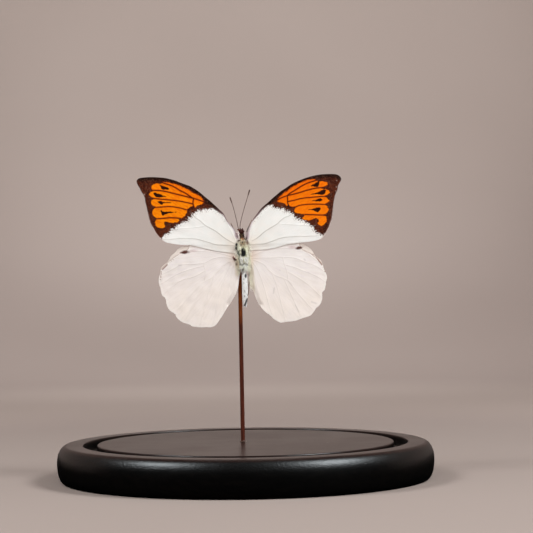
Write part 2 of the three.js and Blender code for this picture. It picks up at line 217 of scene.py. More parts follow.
FORE_RIGHT_ORANGE_VEINS = {
    "R": [
        (33.76, 134.59), (31.95, 134.07), (30.13, 133.51), (28.32, 132.77), (26.04, 131.53),
        (23.77, 130.12), (21.49, 128.79), (20.12, 127.68),
    ],
    "Rc": [
        (20.12, 127.68), (18.76, 127.25), (16.95, 126.46), (15.58, 125.71),
    ],
    "M1": [
        (38.68, 131.28), (36.88, 131.3), (35.07, 131.14), (32.81, 130.9), (30.54, 130.39),
        (28.28, 129.83), (26.01, 129.09), (24.65, 128.75), (22.39, 128.19), (20.12, 127.68),
    ],
    "M2": [
        (39.53, 127.38), (37.27, 127.23), (35.02, 127.13), (32.76, 126.97), (30.49, 126.78),
        (28.24, 126.63), (25.97, 126.25), (24.61, 125.91), (22.8, 125.48), (20.54, 125.1),
    ],
    "M3": [
        (39.49, 123.86), (37.23, 123.58), (34.97, 123.7), (32.71, 123.77), (30.45, 123.75),
        (28.19, 123.6), (25.93, 123.32), (24.57, 122.88), (23.44, 122.36), (21.41, 122.56),
    ],
    "Cu": [
        (39.42, 119.08), (37.16, 118.79), (34.9, 118.82), (32.65, 118.94), (30.39, 119.02),
        (28.13, 119.09), (26.78, 118.97), (24.96, 118.37),
    ],
    "X": [
        (20.26, 127.68), (20.37, 126.1), (20.4, 124.74), (20.7, 123.39), (21.41, 122.56),
    ],
}
FORE_RIGHT_DARK = [
    (6.02, 118), (7.4, 119.34), (8.77, 121.13), (10.15, 122.42), (11.51, 123.48), (12.42, 123.43),
    (13.32, 123.64), (13.54, 122.87), (14.66, 122.49), (15.11, 122.26), (16.01, 122.39),
    (16.46, 121.93), (17.13, 121.56), (17.58, 121.78), (18.26, 122.04), (18.71, 121.45),
    (19.15, 120.86), (19.82, 120.53), (20.28, 120.98), (20.96, 120.97), (21.4, 120.28),
    (21.62, 119.7), (22.29, 119.6), (22.97, 119.14), (23.41, 118.45), (24.07, 117.63),
    (24.74, 117.17), (25.87, 116.84), (26.76, 116.24), (27.67, 116.14), (28.11, 115.55),
    (29.01, 115.36), (29.68, 114.99), (30.12, 114.3), (30.8, 113.84), (31.7, 113.65),
    (31.6, 112.93), (31.9, 112.11), (32.57, 111.65), (33.47, 111.1), (34.36, 110.5),
    (34.94, 109.82), (35.48, 109.4), (36.16, 109.62), (37.07, 110.24),
]
FORE_RIGHT_WHITE_VEINS = {
    "cell": [
        (4.06, 107.58), (5.87, 108.46), (7.7, 109.79), (9.07, 110.99), (10.43, 112.01),
        (12.25, 113.12), (14.53, 114.44), (15.89, 115.33), (17.27, 116.66), (19.09, 117.9),
        (20.9, 118.64), (22.73, 119.84),
    ],
    "anal": [
        (3.13, 105.57), (5.39, 106.08), (7.65, 106.09), (9.91, 106.24), (12.17, 106.94),
        (14.44, 107.76), (16.71, 108.54), (18.97, 108.97), (21.23, 109.16), (25.75, 109.33),
        (30.26, 109.4), (34.33, 109.58),
    ],
    "cu2": [
        (15.89, 115.33), (18.6, 114.93), (22.21, 114.7), (25.82, 114.52), (31.23, 114.04),
    ],
    "radius": [
        (3.61, 107.82), (5.02, 111.86), (6.87, 115.67), (8.95, 118.8), (11.46, 121.48),
        (14.2, 123.47),
    ],
}
HIND_LEFT_OUTLINE = [
    (-1.6, 103.4), (-7, 105.2), (-13, 106.6), (-20, 106.9), (-25.29, 105.61), (-27.55, 105.19),
    (-29.37, 104.31), (-30.51, 102.97), (-32.11, 101.64), (-33.03, 100.53), (-33.49, 99.4),
    (-34.41, 98.29), (-35.78, 97.18), (-36.92, 96.06), (-37.3, 94.94), (-37.4, 93.81),
    (-37.73, 92.69), (-38.11, 91.34), (-38.26, 89.99), (-38.14, 88.86), (-37.93, 87.95),
    (-37.5, 86.82), (-37.29, 85.46), (-37.03, 84.33), (-36.73, 83.33), (-36.06, 82.87),
    (-35.44, 82.28), (-35.09, 81.37), (-34.97, 80.24), (-34.67, 78.88), (-34.23, 77.75),
    (-33.57, 76.83), (-32.68, 76.01), (-31.56, 75.36), (-30.75, 74.72), (-30.67, 73.95),
    (-30.01, 73.04), (-29.12, 72.17), (-28, 71.34), (-26.88, 70.87), (-25.31, 70.4),
    (-24.19, 69.93), (-23.52, 69.34), (-21.72, 69.09), (-19.91, 68.84), (-18.11, 68.86),
    (-16.75, 68.93), (-15.4, 68.78), (-14.27, 68.99), (-13.36, 69.33), (-12.68, 69.87),
    (-11.76, 70.98), (-10.84, 72.32), (-9.92, 73.67), (-9.23, 74.79), (-8.63, 75.82),
    (-7.61, 77.38), (-6.46, 78.95), (-5.31, 80.74), (-4.39, 82.17), (-3.46, 83.87), (-2.76, 85.67),
    (-2.38, 87.02), (-2.1, 89.5), (-1.7, 92.5), (-1.6, 95.5),
]
HIND_LEFT_VEINS = {
    "Sc": [
        (-4.14, 100.37), (-8.19, 101.55), (-13.14, 102.74), (-17.65, 103.25), (-21.71, 103.31),
        (-24.42, 102.98), (-27.13, 102.48), (-30.32, 100.71), (-33.51, 98.05),
    ],
    "Rs": [
        (-4.15, 99.46), (-8.21, 100.33), (-12.59, 100.12), (-15.22, 99.11), (-17.31, 98.1),
        (-20.43, 97.65), (-24.31, 97.43), (-28.42, 97.21), (-30.79, 95.94), (-33.15, 94.7),
        (-35.46, 93.7), (-37.19, 92.95),
    ],
    "disc": [
        (-17.31, 98.1), (-17.6, 96.48), (-17.09, 94.53), (-17.03, 91.96), (-17.61, 89.48),
    ],
    "M1": [
        (-17.6, 96.71), (-21.36, 95.85), (-25.89, 94.56), (-30.42, 92.82), (-34.51, 90.39),
        (-37.34, 88.62),
    ],
    "M2": [
        (-17.09, 94.53), (-19.95, 92.95), (-23.36, 91.46), (-26.98, 90.6), (-30.11, 89.02),
        (-33.67, 86.32), (-36.64, 83.42),
    ],
    "M3": [
        (-4.16, 98.78), (-7.43, 97.7), (-10.07, 95.66), (-11.91, 93.65), (-14.01, 91.6),
        (-16.6, 90.06), (-19.24, 88.56), (-21.35, 86.24), (-24.24, 83.03), (-27.44, 79.69),
        (-30.41, 76.79),
    ],
    "Cu1": [
        (-16.01, 90.41), (-18.31, 87.46), (-20.62, 83.43), (-22.71, 79.39), (-24.6, 75.81),
        (-26.18, 72.67),
    ],
    "Cu2": [
        (-12.82, 92.81), (-14.23, 88.76), (-16.11, 83.37), (-17.53, 78.42), (-18.72, 73.92),
        (-19.68, 69.65),
    ],
    "A1": [
        (-3.94, 98.33), (-6.92, 95.44), (-8.8, 90.04), (-10.68, 84.2), (-12.11, 78.35),
        (-13.31, 72.95), (-14.04, 69.34),
    ],
    "A2": [
        (-3.72, 97.88), (-5.12, 94.51), (-5.86, 90), (-6.61, 84.59), (-7.81, 79.64),
        (-9.43, 76.05),
    ],
}
HIND_LEFT_LOBE = [
    (-24.4, 104.7), (-25.31, 103.72), (-27.58, 102.66), (-30.31, 101.17), (-33.04, 99.17),
    (-34.87, 97.39), (-37.61, 94.94), (-42.07, 98.62), (-37.43, 108.48), (-24.35, 108.31),
]
HIND_LEFT_MARKS = [
    [
        (-27.97, 97.12), (-29.37, 97),
    ],
    [
        (-36.67, 90.87), (-37.55, 89.62),
    ],
    [
        (-16.51, 103.74), (-17.42, 103.43),
    ],
    [
        (-22.83, 103.5), (-23.74, 103.34),
    ],
]
HIND_RIGHT_OUTLINE = [
    (1.4, 103.2), (7, 105.2), (14, 106.7), (21, 107), (26.65, 106.05), (27.99, 105.13),
    (29.34, 104.44), (30.23, 103.75), (31.13, 102.83), (31.79, 101.69), (32.23, 100.78),
    (33.12, 99.87), (34.24, 99.08), (34.91, 98.58), (35.35, 97.8), (35.79, 96.67), (36.13, 95.53),
    (36.44, 94.4), (36.88, 93.49), (37.31, 92.36), (37.66, 91.22), (37.74, 90.32), (37.5, 89.42),
    (37.26, 88.52), (37.11, 87.16), (36.77, 85.81), (36.53, 84.91), (35.85, 84.33), (35.39, 83.8),
    (35.42, 82.67), (35.49, 81.31), (35.25, 80.19), (34.88, 79.29), (34.32, 78.26), (33.5, 77.5),
    (32.58, 76.74), (32.12, 75.94), (31.43, 75.04), (30.74, 74.15), (29.83, 73.35), (28.46, 72.91),
    (26.65, 72.4), (25.29, 71.87), (23.47, 71.31), (21.66, 70.97), (19.85, 70.86), (18.04, 70.62),
    (16.68, 70.46), (15.78, 70.74), (14.66, 71.43), (13.32, 72.22), (12.21, 73.5), (10.87, 74.51),
    (9.52, 75.57), (8.19, 77.03), (7.08, 78.54), (6.2, 80.13), (5.54, 81.49), (5.02, 83.08),
    (4.3, 85.2), (3.5, 87.6), (3, 90), (2.8, 94), (1.6, 97.5),
]
HIND_RIGHT_VEINS = {
    "Sc": [
        (3.54, 100.71), (8.53, 102.68), (13.06, 103.75), (18.04, 104.13), (22.55, 103.94),
        (25.71, 103.49), (28.5, 102.32), (31.09, 100.12), (34, 97.82),
    ],
    "Rs": [
        (3.53, 99.81), (8.5, 99.97), (13.01, 99.91), (17.08, 100.08), (21.6, 99.89),
        (24.75, 99.17), (27.71, 97.82), (31.4, 96.55), (35.04, 94.56), (37.31, 92.58),
    ],
    "disc": [
        (17.98, 99.98), (18.62, 96.9), (19.71, 93.72), (20.28, 89.33),
    ],
    "M1": [
        (18.66, 96.67), (22.44, 95.72), (26.49, 94.08), (30.08, 92.68), (33.77, 90.87),
        (37.26, 88.52),
    ],
    "M2": [
        (19.71, 93.72), (22.84, 91.87), (26.43, 89.57), (30.01, 86.81), (33.13, 83.83),
        (35.81, 81.31),
    ],
    "M3": [
        (3.74, 99.13), (5.68, 98.65), (9.36, 96.89), (11.76, 94.1), (14.44, 91.9), (17.81, 90.63),
        (20.28, 89.33), (21.97, 87.14), (24.99, 83.26), (28.1, 79.61), (31.44, 75.95),
    ],
    "Cu1": [
        (18.31, 90.4), (20.06, 86.49), (22.03, 81.95), (23.79, 77.86), (25.1, 74.68),
        (26.19, 71.73),
    ],
    "Cu2": [
        (12.92, 93), (14.67, 88.37), (16.17, 82.93), (17.24, 77.95), (18.09, 74.32), (18.72, 70.7),
    ],
    "A1": [
        (3.96, 98.45), (6.18, 95.26), (8.36, 89.81), (10.09, 83.92), (11.38, 78.93), (12.67, 74.4),
    ],
    "A2": [
        (3.73, 98), (4.8, 93.47), (5.85, 88.04), (7.15, 83.5),
    ],
}
HIND_RIGHT_LOBE = [
    (25.29, 105.84), (26.57, 103.57), (28.5, 102.41), (30.47, 101.53), (32.4, 99.83),
    (34.36, 98.09), (35.88, 96.49), (41.41, 94.79), (41.58, 107.44),
]
HIND_RIGHT_MARKS = [
    [
        (27.55, 99.04), (27.9, 98.49),
    ],
    [
        (29.01, 93.19), (30.08, 92.68),
    ],
    [
        (16.23, 94.22), (16.64, 93.85),
    ],
    [
        (13.82, 86.12), (13.43, 83.78),
    ],
    [
        (20.28, 89.2), (21.97, 87.14),
    ],
    [
        (33.23, 91.01), (35.02, 89.9),
    ],
    [
        (30.59, 79.62), (32.61, 78.91),
    ],
    [
        (23.29, 78.32), (24.97, 75.09),
    ],
]

# ---------------------------------------------------------------------------------------------
# Small helpers
# ---------------------------------------------------------------------------------------------
MM = 0.001


def lin(r, g, b, k=1.0):
    """A colour named by its 0-255 screen values, as Blender wants it."""
    def f(v):
        v = v / 255.0
        return v / 12.92 if v <= 0.04045 else ((v + 0.055) / 1.055) ** 2.4
    return (f(r) * k, f(g) * k, f(b) * k, 1.0)


def arc_resample(p, step, closed=False):
    p = np.asarray(p, float)
    if closed:
        p = np.vstack([p, p[:1]])
    s = np.concatenate([[0], np.cumsum(np.linalg.norm(np.diff(p, axis=0), axis=1))])
    n = max(2, int(round(s[-1] / step)))
    t = np.linspace(0, s[-1], n + 1)
    q = np.stack([np.interp(t, s, p[:, k]) for k in range(p.shape[1])], 1)
    return q[:-1] if closed else q


def smooth_curve(pts, step, closed=False):
    """Catmull-Rom through the points, then evenly spaced."""
    p = np.asarray(pts, float)
    n = len(p)
    if n < 3 and not closed:
        return arc_resample(p, step)
    out = []
    last = n if closed else n - 1
    t = np.linspace(0, 1, 9)[:-1, None]
    for i in range(last):
        if closed:
            a, b, c, d = p[(i - 1) % n], p[i], p[(i + 1) % n], p[(i + 2) % n]
        else:
            b, c = p[i], p[i + 1]
            a = p[i - 1] if i > 0 else 2 * b - c
            d = p[i + 2] if i + 2 < n else 2 * c - b
        out.append(0.5 * (2 * b + (c - a) * t + (2 * a - 5 * b + 4 * c - d) * t ** 2 + (3 * b - 3 * c + d - a) * t ** 3))
    q = np.vstack(out + ([] if closed else [p[-1:]]))
    return arc_resample(q, step, closed)


def soften(p, sigma, closed=True):
    """Evens out small steps along a closed outline. sigma is in samples."""
    n = int(3 * sigma + 1)
    k = np.exp(-0.5 * (np.arange(-n, n + 1) / sigma) ** 2)
    k /= k.sum()
    out = np.zeros_like(p)
    for j, w in zip(range(-n, n + 1), k):
        out += w * np.roll(p, -j, axis=0)
    return out


def dist_to(P, curve, closed=False):
    """Distance from each point to a polyline."""
    a = np.asarray(curve, float)
    b = np.roll(a, -1, axis=0) if closed else a[1:]
    a = a if closed else a[:-1]
    ab = b - a
    ll = np.maximum((ab ** 2).sum(1), 1e-12)
    best = np.empty(len(P))
    for i in range(0, len(P), 3000):
        q = P[i:i + 3000]
        ap = q[:, None, :] - a[None]
        t = np.clip((ap * ab[None]).sum(2) / ll[None], 0, 1)
        d = ap - t[:, :, None] * ab[None]
        best[i:i + 3000] = np.sqrt((d ** 2).sum(2).min(1))
    return best


def inside(P, poly):
    a = np.asarray(poly, float)
    b = np.roll(a, -1, axis=0)
    got = np.zeros(len(P), bool)
    for i in range(0, len(P), 4000):
        q = P[i:i + 4000]
        up = (a[None, :, 1] > q[:, None, 1]) != (b[None, :, 1] > q[:, None, 1])
        dz = np.where(np.abs(b[:, 1] - a[:, 1]) < 1e-12, 1e-12, b[:, 1] - a[:, 1])
        x = (b[:, 0] - a[:, 0])[None] * (q[:, None, 1] - a[None, :, 1]) / dz[None] + a[None, :, 0]
        got[i:i + 4000] = ((up & (q[:, None, 0] < x)).sum(1) % 2) == 1
    return got


def signed(P, poly):
    """Distance inside a closed outline, negative outside."""
    d = dist_to(P, poly, True)
    return np.where(inside(P, poly), d, -d)


def sstep(x, lo, hi):
    t = np.clip((np.asarray(x, float) - lo) / (hi - lo), 0, 1)
    return t * t * (3 - 2 * t)


def wave2(x, z, seed, size):
    """Smooth random field, about -1 to 1, with features of that size in mm."""
    r = np.random.default_rng(seed)
    out = np.zeros_like(np.asarray(x, float))
    for _ in range(7):
        a = r.uniform(0, 2 * math.pi)
        k = 2 * math.pi / (size * r.uniform(0.7, 1.6))
        out += np.sin(k * (x * math.cos(a) + z * math.sin(a)) + r.uniform(0, 2 * math.pi))
    return out / 4.0


def new_mesh(name, verts_mm, faces, mats, face_mat=None, smooth=True, sharp_deg=None):
    me = bpy.data.meshes.new(name)
    v = np.asarray(verts_mm, np.float32) * MM
    tri = isinstance(faces, np.ndarray)
    if tri:
        me.vertices.add(len(v))
        me.vertices.foreach_set("co", v.ravel())
        k = faces.shape[1]
        me.loops.add(faces.size)
        me.loops.foreach_set("vertex_index", faces.astype(np.int32).ravel())
        me.polygons.add(len(faces))
        me.polygons.foreach_set("loop_start", np.arange(0, faces.size, k, dtype=np.int32))
        me.polygons.foreach_set("loop_total", np.full(len(faces), k, np.int32))
        me.update(calc_edges=True)
    else:
        me.from_pydata([tuple(p) for p in v], [], faces)
    for m in (mats if isinstance(mats, (list, tuple)) else [mats]):
        me.materials.append(m)
    if face_mat is not None:
        me.polygons.foreach_set("material_index", np.asarray(face_mat, np.int32))
    me.polygons.foreach_set("use_smooth", np.full(len(me.polygons), smooth, bool))
    if sharp_deg:
        me.set_sharp_from_angle(angle=math.radians(sharp_deg))
    me.update()
    o = bpy.data.objects.new(name, me)
    bpy.context.scene.collection.objects.link(o)
    return o


def put_attr(o, name, values):
    a = o.data.attributes.new(name, "FLOAT", "POINT")
    a.data.foreach_set("value", np.asarray(values, np.float32))


def put_colour(o, name, rgb):
    a = o.data.attributes.new(name, "FLOAT_COLOR", "POINT")
    c = np.ones((len(rgb), 4), np.float32)
    c[:, :3] = rgb
    a.data.foreach_set("color", c.ravel())


def place(o, slot=None, *nodes):
    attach(o, ROOT)
    if nodes:
        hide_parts(*nodes)
    return o


ROOT = sorted(frame["bodies"])[0]


class Graph:
    """A node material with one Principled shader and short names for the nodes it uses."""

    def __init__(self, name, **fixed):
        self.mat = bpy.data.materials.new(name)
        self.mat.use_nodes = True
        self.nt = self.mat.node_tree
        self.nt.nodes.clear()
        out = self.node("ShaderNodeOutputMaterial")
        self.bsdf = self.node("ShaderNodeBsdfPrincipled")
        self.nt.links.new(self.bsdf.outputs[0], out.inputs[0])
        for k, v in fixed.items():
            self.bsdf.inputs[k.replace("_", " ")].default_value = v

    def node(self, kind, **props):
        n = self.nt.nodes.new(kind)
        for k, v in props.items():
            setattr(n, k, v)
        return n

    def put(self, socket, value):
        if isinstance(value, bpy.types.NodeSocket):
            self.nt.links.new(value, socket)
        else:
            socket.default_value = value

    def set(self, name, value):
        self.put(self.bsdf.inputs[name], value)

    def attr(self, name, out="Fac"):
        return self.node("ShaderNodeAttribute", attribute_type="GEOMETRY", attribute_name=name).outputs[out]

    def math(self, op, a, b=0.0, c=None, clamp=False):
        n = self.node("ShaderNodeMath", operation=op, use_clamp=clamp)
        self.put(n.inputs[0], a)
        self.put(n.inputs[1], b)
        if c is not None:
            self.put(n.inputs[2], c)
        return n.outputs[0]

    def step(self, x, lo, hi, a=0.0, b=1.0):
        n = self.node("ShaderNodeMapRange", interpolation_type="SMOOTHSTEP")
        self.put(n.inputs["Value"], x)
        n.inputs["From Min"].default_value = lo
        n.inputs["From Max"].default_value = hi
        n.inputs["To Min"].default_value = a
        n.inputs["To Max"].default_value = b
        return n.outputs[0]

    def mix(self, fac, a, b, blend="MIX"):
        n = self.node("ShaderNodeMix", data_type="RGBA", blend_type=blend)
        self.put(n.inputs[0], fac)
        self.put(n.inputs[6], a)
        self.put(n.inputs[7], b)
        return n.outputs[2]

    def coords(self, scale=(1, 1, 1), rot=(0, 0, 0)):
        c = self.node("ShaderNodeTexCoord").outputs["Object"]
        if scale == (1, 1, 1) and rot == (0, 0, 0):
            return c
        m = self.node("ShaderNodeMapping")
        self.put(m.inputs["Vector"], c)
        m.inputs["Scale"].default_value = scale
        m.inputs["Rotation"].default_value = rot
        return m.outputs[0]

    def xyz(self, x, y, z=0.0):
        n = self.node("ShaderNodeCombineXYZ")
        self.put(n.inputs[0], x)
        self.put(n.inputs[1], y)
        self.put(n.inputs[2], z)
        return n.outputs[0]

    def split(self, v):
        n = self.node("ShaderNodeSeparateXYZ")
        self.put(n.inputs[0], v)
        return n.outputs

    def noise(self, vec, scale, detail=3.0, rough=0.55, distort=0.0):
        n = self.node("ShaderNodeTexNoise")
        self.put(n.inputs["Vector"], vec)
        n.inputs["Scale"].default_value = scale
        n.inputs["Detail"].default_value = detail
        n.inputs["Roughness"].default_value = rough
        n.inputs["Distortion"].default_value = distort
        return n.outputs["Fac"]

    def voronoi(self, vec, scale, feature="F1", out="Distance"):
        n = self.node("ShaderNodeTexVoronoi", feature=feature)
        self.put(n.inputs["Vector"], vec)
        n.inputs["Scale"].default_value = scale
        return n.outputs[out]

    def bump(self, height, strength, distance, normal=None):
        n = self.node("ShaderNodeBump")
        n.inputs["Strength"].default_value = strength
        n.inputs["Distance"].default_value = distance
        self.put(n.inputs["Height"], height)
        if normal is not None:
            self.put(n.inputs["Normal"], normal)
        self.set("Normal", n.outputs[0])
        return n.outputs[0]


def frames_along(path):
    """Tangents and two turning normals along a path, without twist."""
    t = np.gradient(path, axis=0)
    t /= np.linalg.norm(t, axis=1)[:, None]
    up = np.array([0.0, 1.0, 0.0]) if abs(t[0, 1]) < 0.9 else np.array([1.0, 0.0, 0.0])
    n = np.cross(t[0], up)
    n /= np.linalg.norm(n)
    ns = [n]
    for i in range(1, len(t)):
        n = ns[-1] - t[i] * np.dot(ns[-1], t[i])
        ns.append(n / np.linalg.norm(n))
    ns = np.array(ns)
    return t, ns, np.cross(t, ns)


def tube(path, radius, sides=12):
    """Closed round tube: vertices and triangles. radius is one per point of the path."""
    path = np.asarray(path, float)
    radius = np.broadcast_to(np.asarray(radius, float), (len(path),))
    t, n, b = frames_along(path)
    a = np.arange(sides) / sides * 2 * math.pi
    ring = n[:, None, :] * np.cos(a)[None, :, None] + b[:, None, :] * np.sin(a)[None, :, None]
    v = (path[:, None, :] + ring * radius[:, None, None]).reshape(-1, 3)
    m = len(path)
    i = np.arange(m - 1)[:, None] * sides
    j = np.arange(sides)[None]
    k = (j + 1) % sides
    q = np.stack([i + j, i + k, i + sides + k, i + sides + j], 2).reshape(-1, 4)
    f = np.vstack([q[:, [0, 1, 2]], q[:, [0, 2, 3]]])
    v = np.vstack([v, path[:1], path[-1:]])
    c0, c1 = len(v) - 2, len(v) - 1
    j = np.arange(sides)
    k = (j + 1) % sides
    f = np.vstack([f, np.stack([np.full(sides, c0), k, j], 1), np.stack([np.full(sides, c1), (m - 1) * sides + j, (m - 1) * sides + k], 1)])
    return v, f


def ball(centre, radii, rings=20, seg=28, axis=None):
    """Closed ellipsoid: vertices and triangles. axis turns its Z that way."""
    th = np.linspace(0, math.pi, rings + 1)[1:-1]
    ph = np.arange(seg) / seg * 2 * math.pi
    v = np.stack([np.sin(th)[:, None] * np.cos(ph)[None], np.sin(th)[:, None] * np.sin(ph)[None], np.cos(th)[:, None] * np.ones(seg)[None]], 2).reshape(-1, 3)
    v = np.vstack([v, [[0, 0, 1]], [[0, 0, -1]]]) * np.asarray(radii, float)
    m = rings - 1
    f = []
    for i in range(m - 1):
        for j in range(seg):
            k = (j + 1) % seg
            a, b, c, d = i * seg + j, i * seg + k, (i + 1) * seg + k, (i + 1) * seg + j
            f += [(a, d, c), (a, c, b)]
    for j in range(seg):
        k = (j + 1) % seg
        f += [(m * seg, j, k), (m * seg + 1, (m - 1) * seg + k, (m - 1) * seg + j)]
    if axis is not None:
        q = Vector((0, 0, 1)).rotation_difference(Vector(axis).normalized()).to_matrix()
        v = v @ np.array(q).T
    return v + np.asarray(centre, float), np.array(f)


def lathe(profile, seg, centre=(0.0, 0.0)):
    """Closed turned solid about Z from radius, height pairs that start and end on the axis."""
    pr = np.asarray(profile, float)
    mid = pr[1:-1]
    a = np.arange(seg) / seg * 2 * math.pi
    v = np.stack([mid[:, :1] * np.cos(a)[None], mid[:, :1] * np.sin(a)[None], np.repeat(mid[:, 1:], seg, 1)], 2).reshape(-1, 3)
    v = np.vstack([v, [[0, 0, pr[0, 1]]], [[0, 0, pr[-1, 1]]]])
    m = len(mid)
    i = np.arange(m - 1)[:, None] * seg
    j = np.arange(seg)[None]
    k = (j + 1) % seg
    q = np.stack([i + j, i + k, i + seg + k, i + seg + j], 2).reshape(-1, 4)
    f = np.vstack([q[:, [0, 1, 2]], q[:, [0, 2, 3]]])
    j = np.arange(seg)
    k = (j + 1) % seg
    f = np.vstack([f, np.stack([np.full(seg, m * seg), k, j], 1), np.stack([np.full(seg, m * seg + 1), (m - 1) * seg + j, (m - 1) * seg + k], 1)])
    v[:, 0] += centre[0]
    v[:, 1] += centre[1]
    return v, f


def join(parts):
    vs, fs, base = [], [], 0
    for v, f in parts:
        vs.append(v)
        fs.append(f + base)
        base += len(v)
    return np.vstack(vs), np.vstack(fs)


def unit(v):
    return v / np.maximum(np.linalg.norm(v, axis=-1, keepdims=True), 1e-9)


def hairs(root, way, length, width, bend, rng, outward=None):
    """Tapered three-sided hairs, each a closed mesh: root points, directions, lengths, widths, and how far the tip is carried.
    Returns vertices, triangles and, for each vertex, its hair and its place from root (0) to tip (1)."""
    n = len(root)
    way = unit(way)
    length = np.broadcast_to(length, (n,))[:, None]
    width = np.broadcast_to(width, (n,))[:, None]
    mid = root + way * length * 0.55 + bend * length * 0.18
    tip = root + way * length + bend * length * 0.62
    side = unit(np.cross(way, rng.normal(size=(n, 3))))
    if outward is not None:  # one of the three sides lies flat and faces outwards
        flat = outward - way * np.sum(outward * way, axis=1, keepdims=True)
        side = unit(side * 0.35 - unit(flat))
        side = unit(side - way * np.sum(side * way, axis=1, keepdims=True))
    other = np.cross(way, side)
    v = np.empty((n, 7, 3))
    for k in range(3):
        a = 2 * math.pi * k / 3
        off = side * math.cos(a) + other * math.sin(a)
        v[:, k] = root + off * width * 0.5
        v[:, 3 + k] = mid + off * width * 0.36
    v[:, 6] = tip
    tri = []
    for k in range(3):
        l = (k + 1) % 3
        tri += [(k, l, 3 + l), (k, 3 + l, 3 + k), (3 + k, 3 + l, 6)]
    tri.append((2, 1, 0))
    tri = np.array(tri)
    f = (np.arange(n)[:, None, None] * 7 + tri[None]).reshape(-1, 3)
    hair = np.repeat(np.arange(n), 7)
    place_ = np.tile([0, 0, 0, 0.55, 0.55, 0.55, 1.0], n)
    return v.reshape(-1, 3), f, hair, place_


# ---------------------------------------------------------------------------------------------
# Camera: the photograph's viewing angle, at its 533 x 533 frame
# ---------------------------------------------------------------------------------------------
F_PX, FRAME_PX = 1977.6, 533.0
CAM_D, CAM_E = 900.0, math.radians(5.06)
ROLL, YAW = math.radians(-0.769), math.radians(0.672)
BASE_T = 16.5
fw = Vector((math.sin(YAW), math.cos(YAW), 0.0))
right = fw.cross(Vector((0, 0, 1))).normalized()
up = right.cross(fw)
r2 = math.cos(ROLL) * right + math.sin(ROLL) * up
u2 = -math.sin(ROLL) * right + math.cos(ROLL) * up
cam = bpy.data.cameras.new("camera")
cam.sensor_width = 36.0
cam.sensor_fit = "HORIZONTAL"
cam.lens = F_PX / FRAME_PX * 36.0
cam.clip_start, cam.clip_end = 0.05, 20.0
cam_o = bpy.data.objects.new("camera", cam)
cam_o.matrix_world = Matrix((
    (r2.x, u2.x, -fw.x, 0.0),
    (r2.y, u2.y, -fw.y, -CAM_D * math.cos(CAM_E) * MM),
    (r2.z, u2.z, -fw.z, (CAM_D * math.sin(CAM_E) + BASE_T) * MM),
    (0, 0, 0, 1),
))
bpy.context.scene.collection.objects.link(cam_o)
bpy.context.scene.camera = cam_o

# ---------------------------------------------------------------------------------------------
# Wings
# ---------------------------------------------------------------------------------------------
WING_H = 0.27  # spacing of the inner points
FORE_Y, HIND_Y = -4.2, -3.82
BODY_X = -0.05


def sheet_bend(x, z):
    """The slow bend that all four wings share: tips a little back, roots low."""
    d = np.abs(x - BODY_X)
    return 0.85 * sstep(d, 14, 47) ** 1.3 + 0.10 * wave2(x, z, 5, 26) - 0.16 * sstep(8 - d, 0, 8)


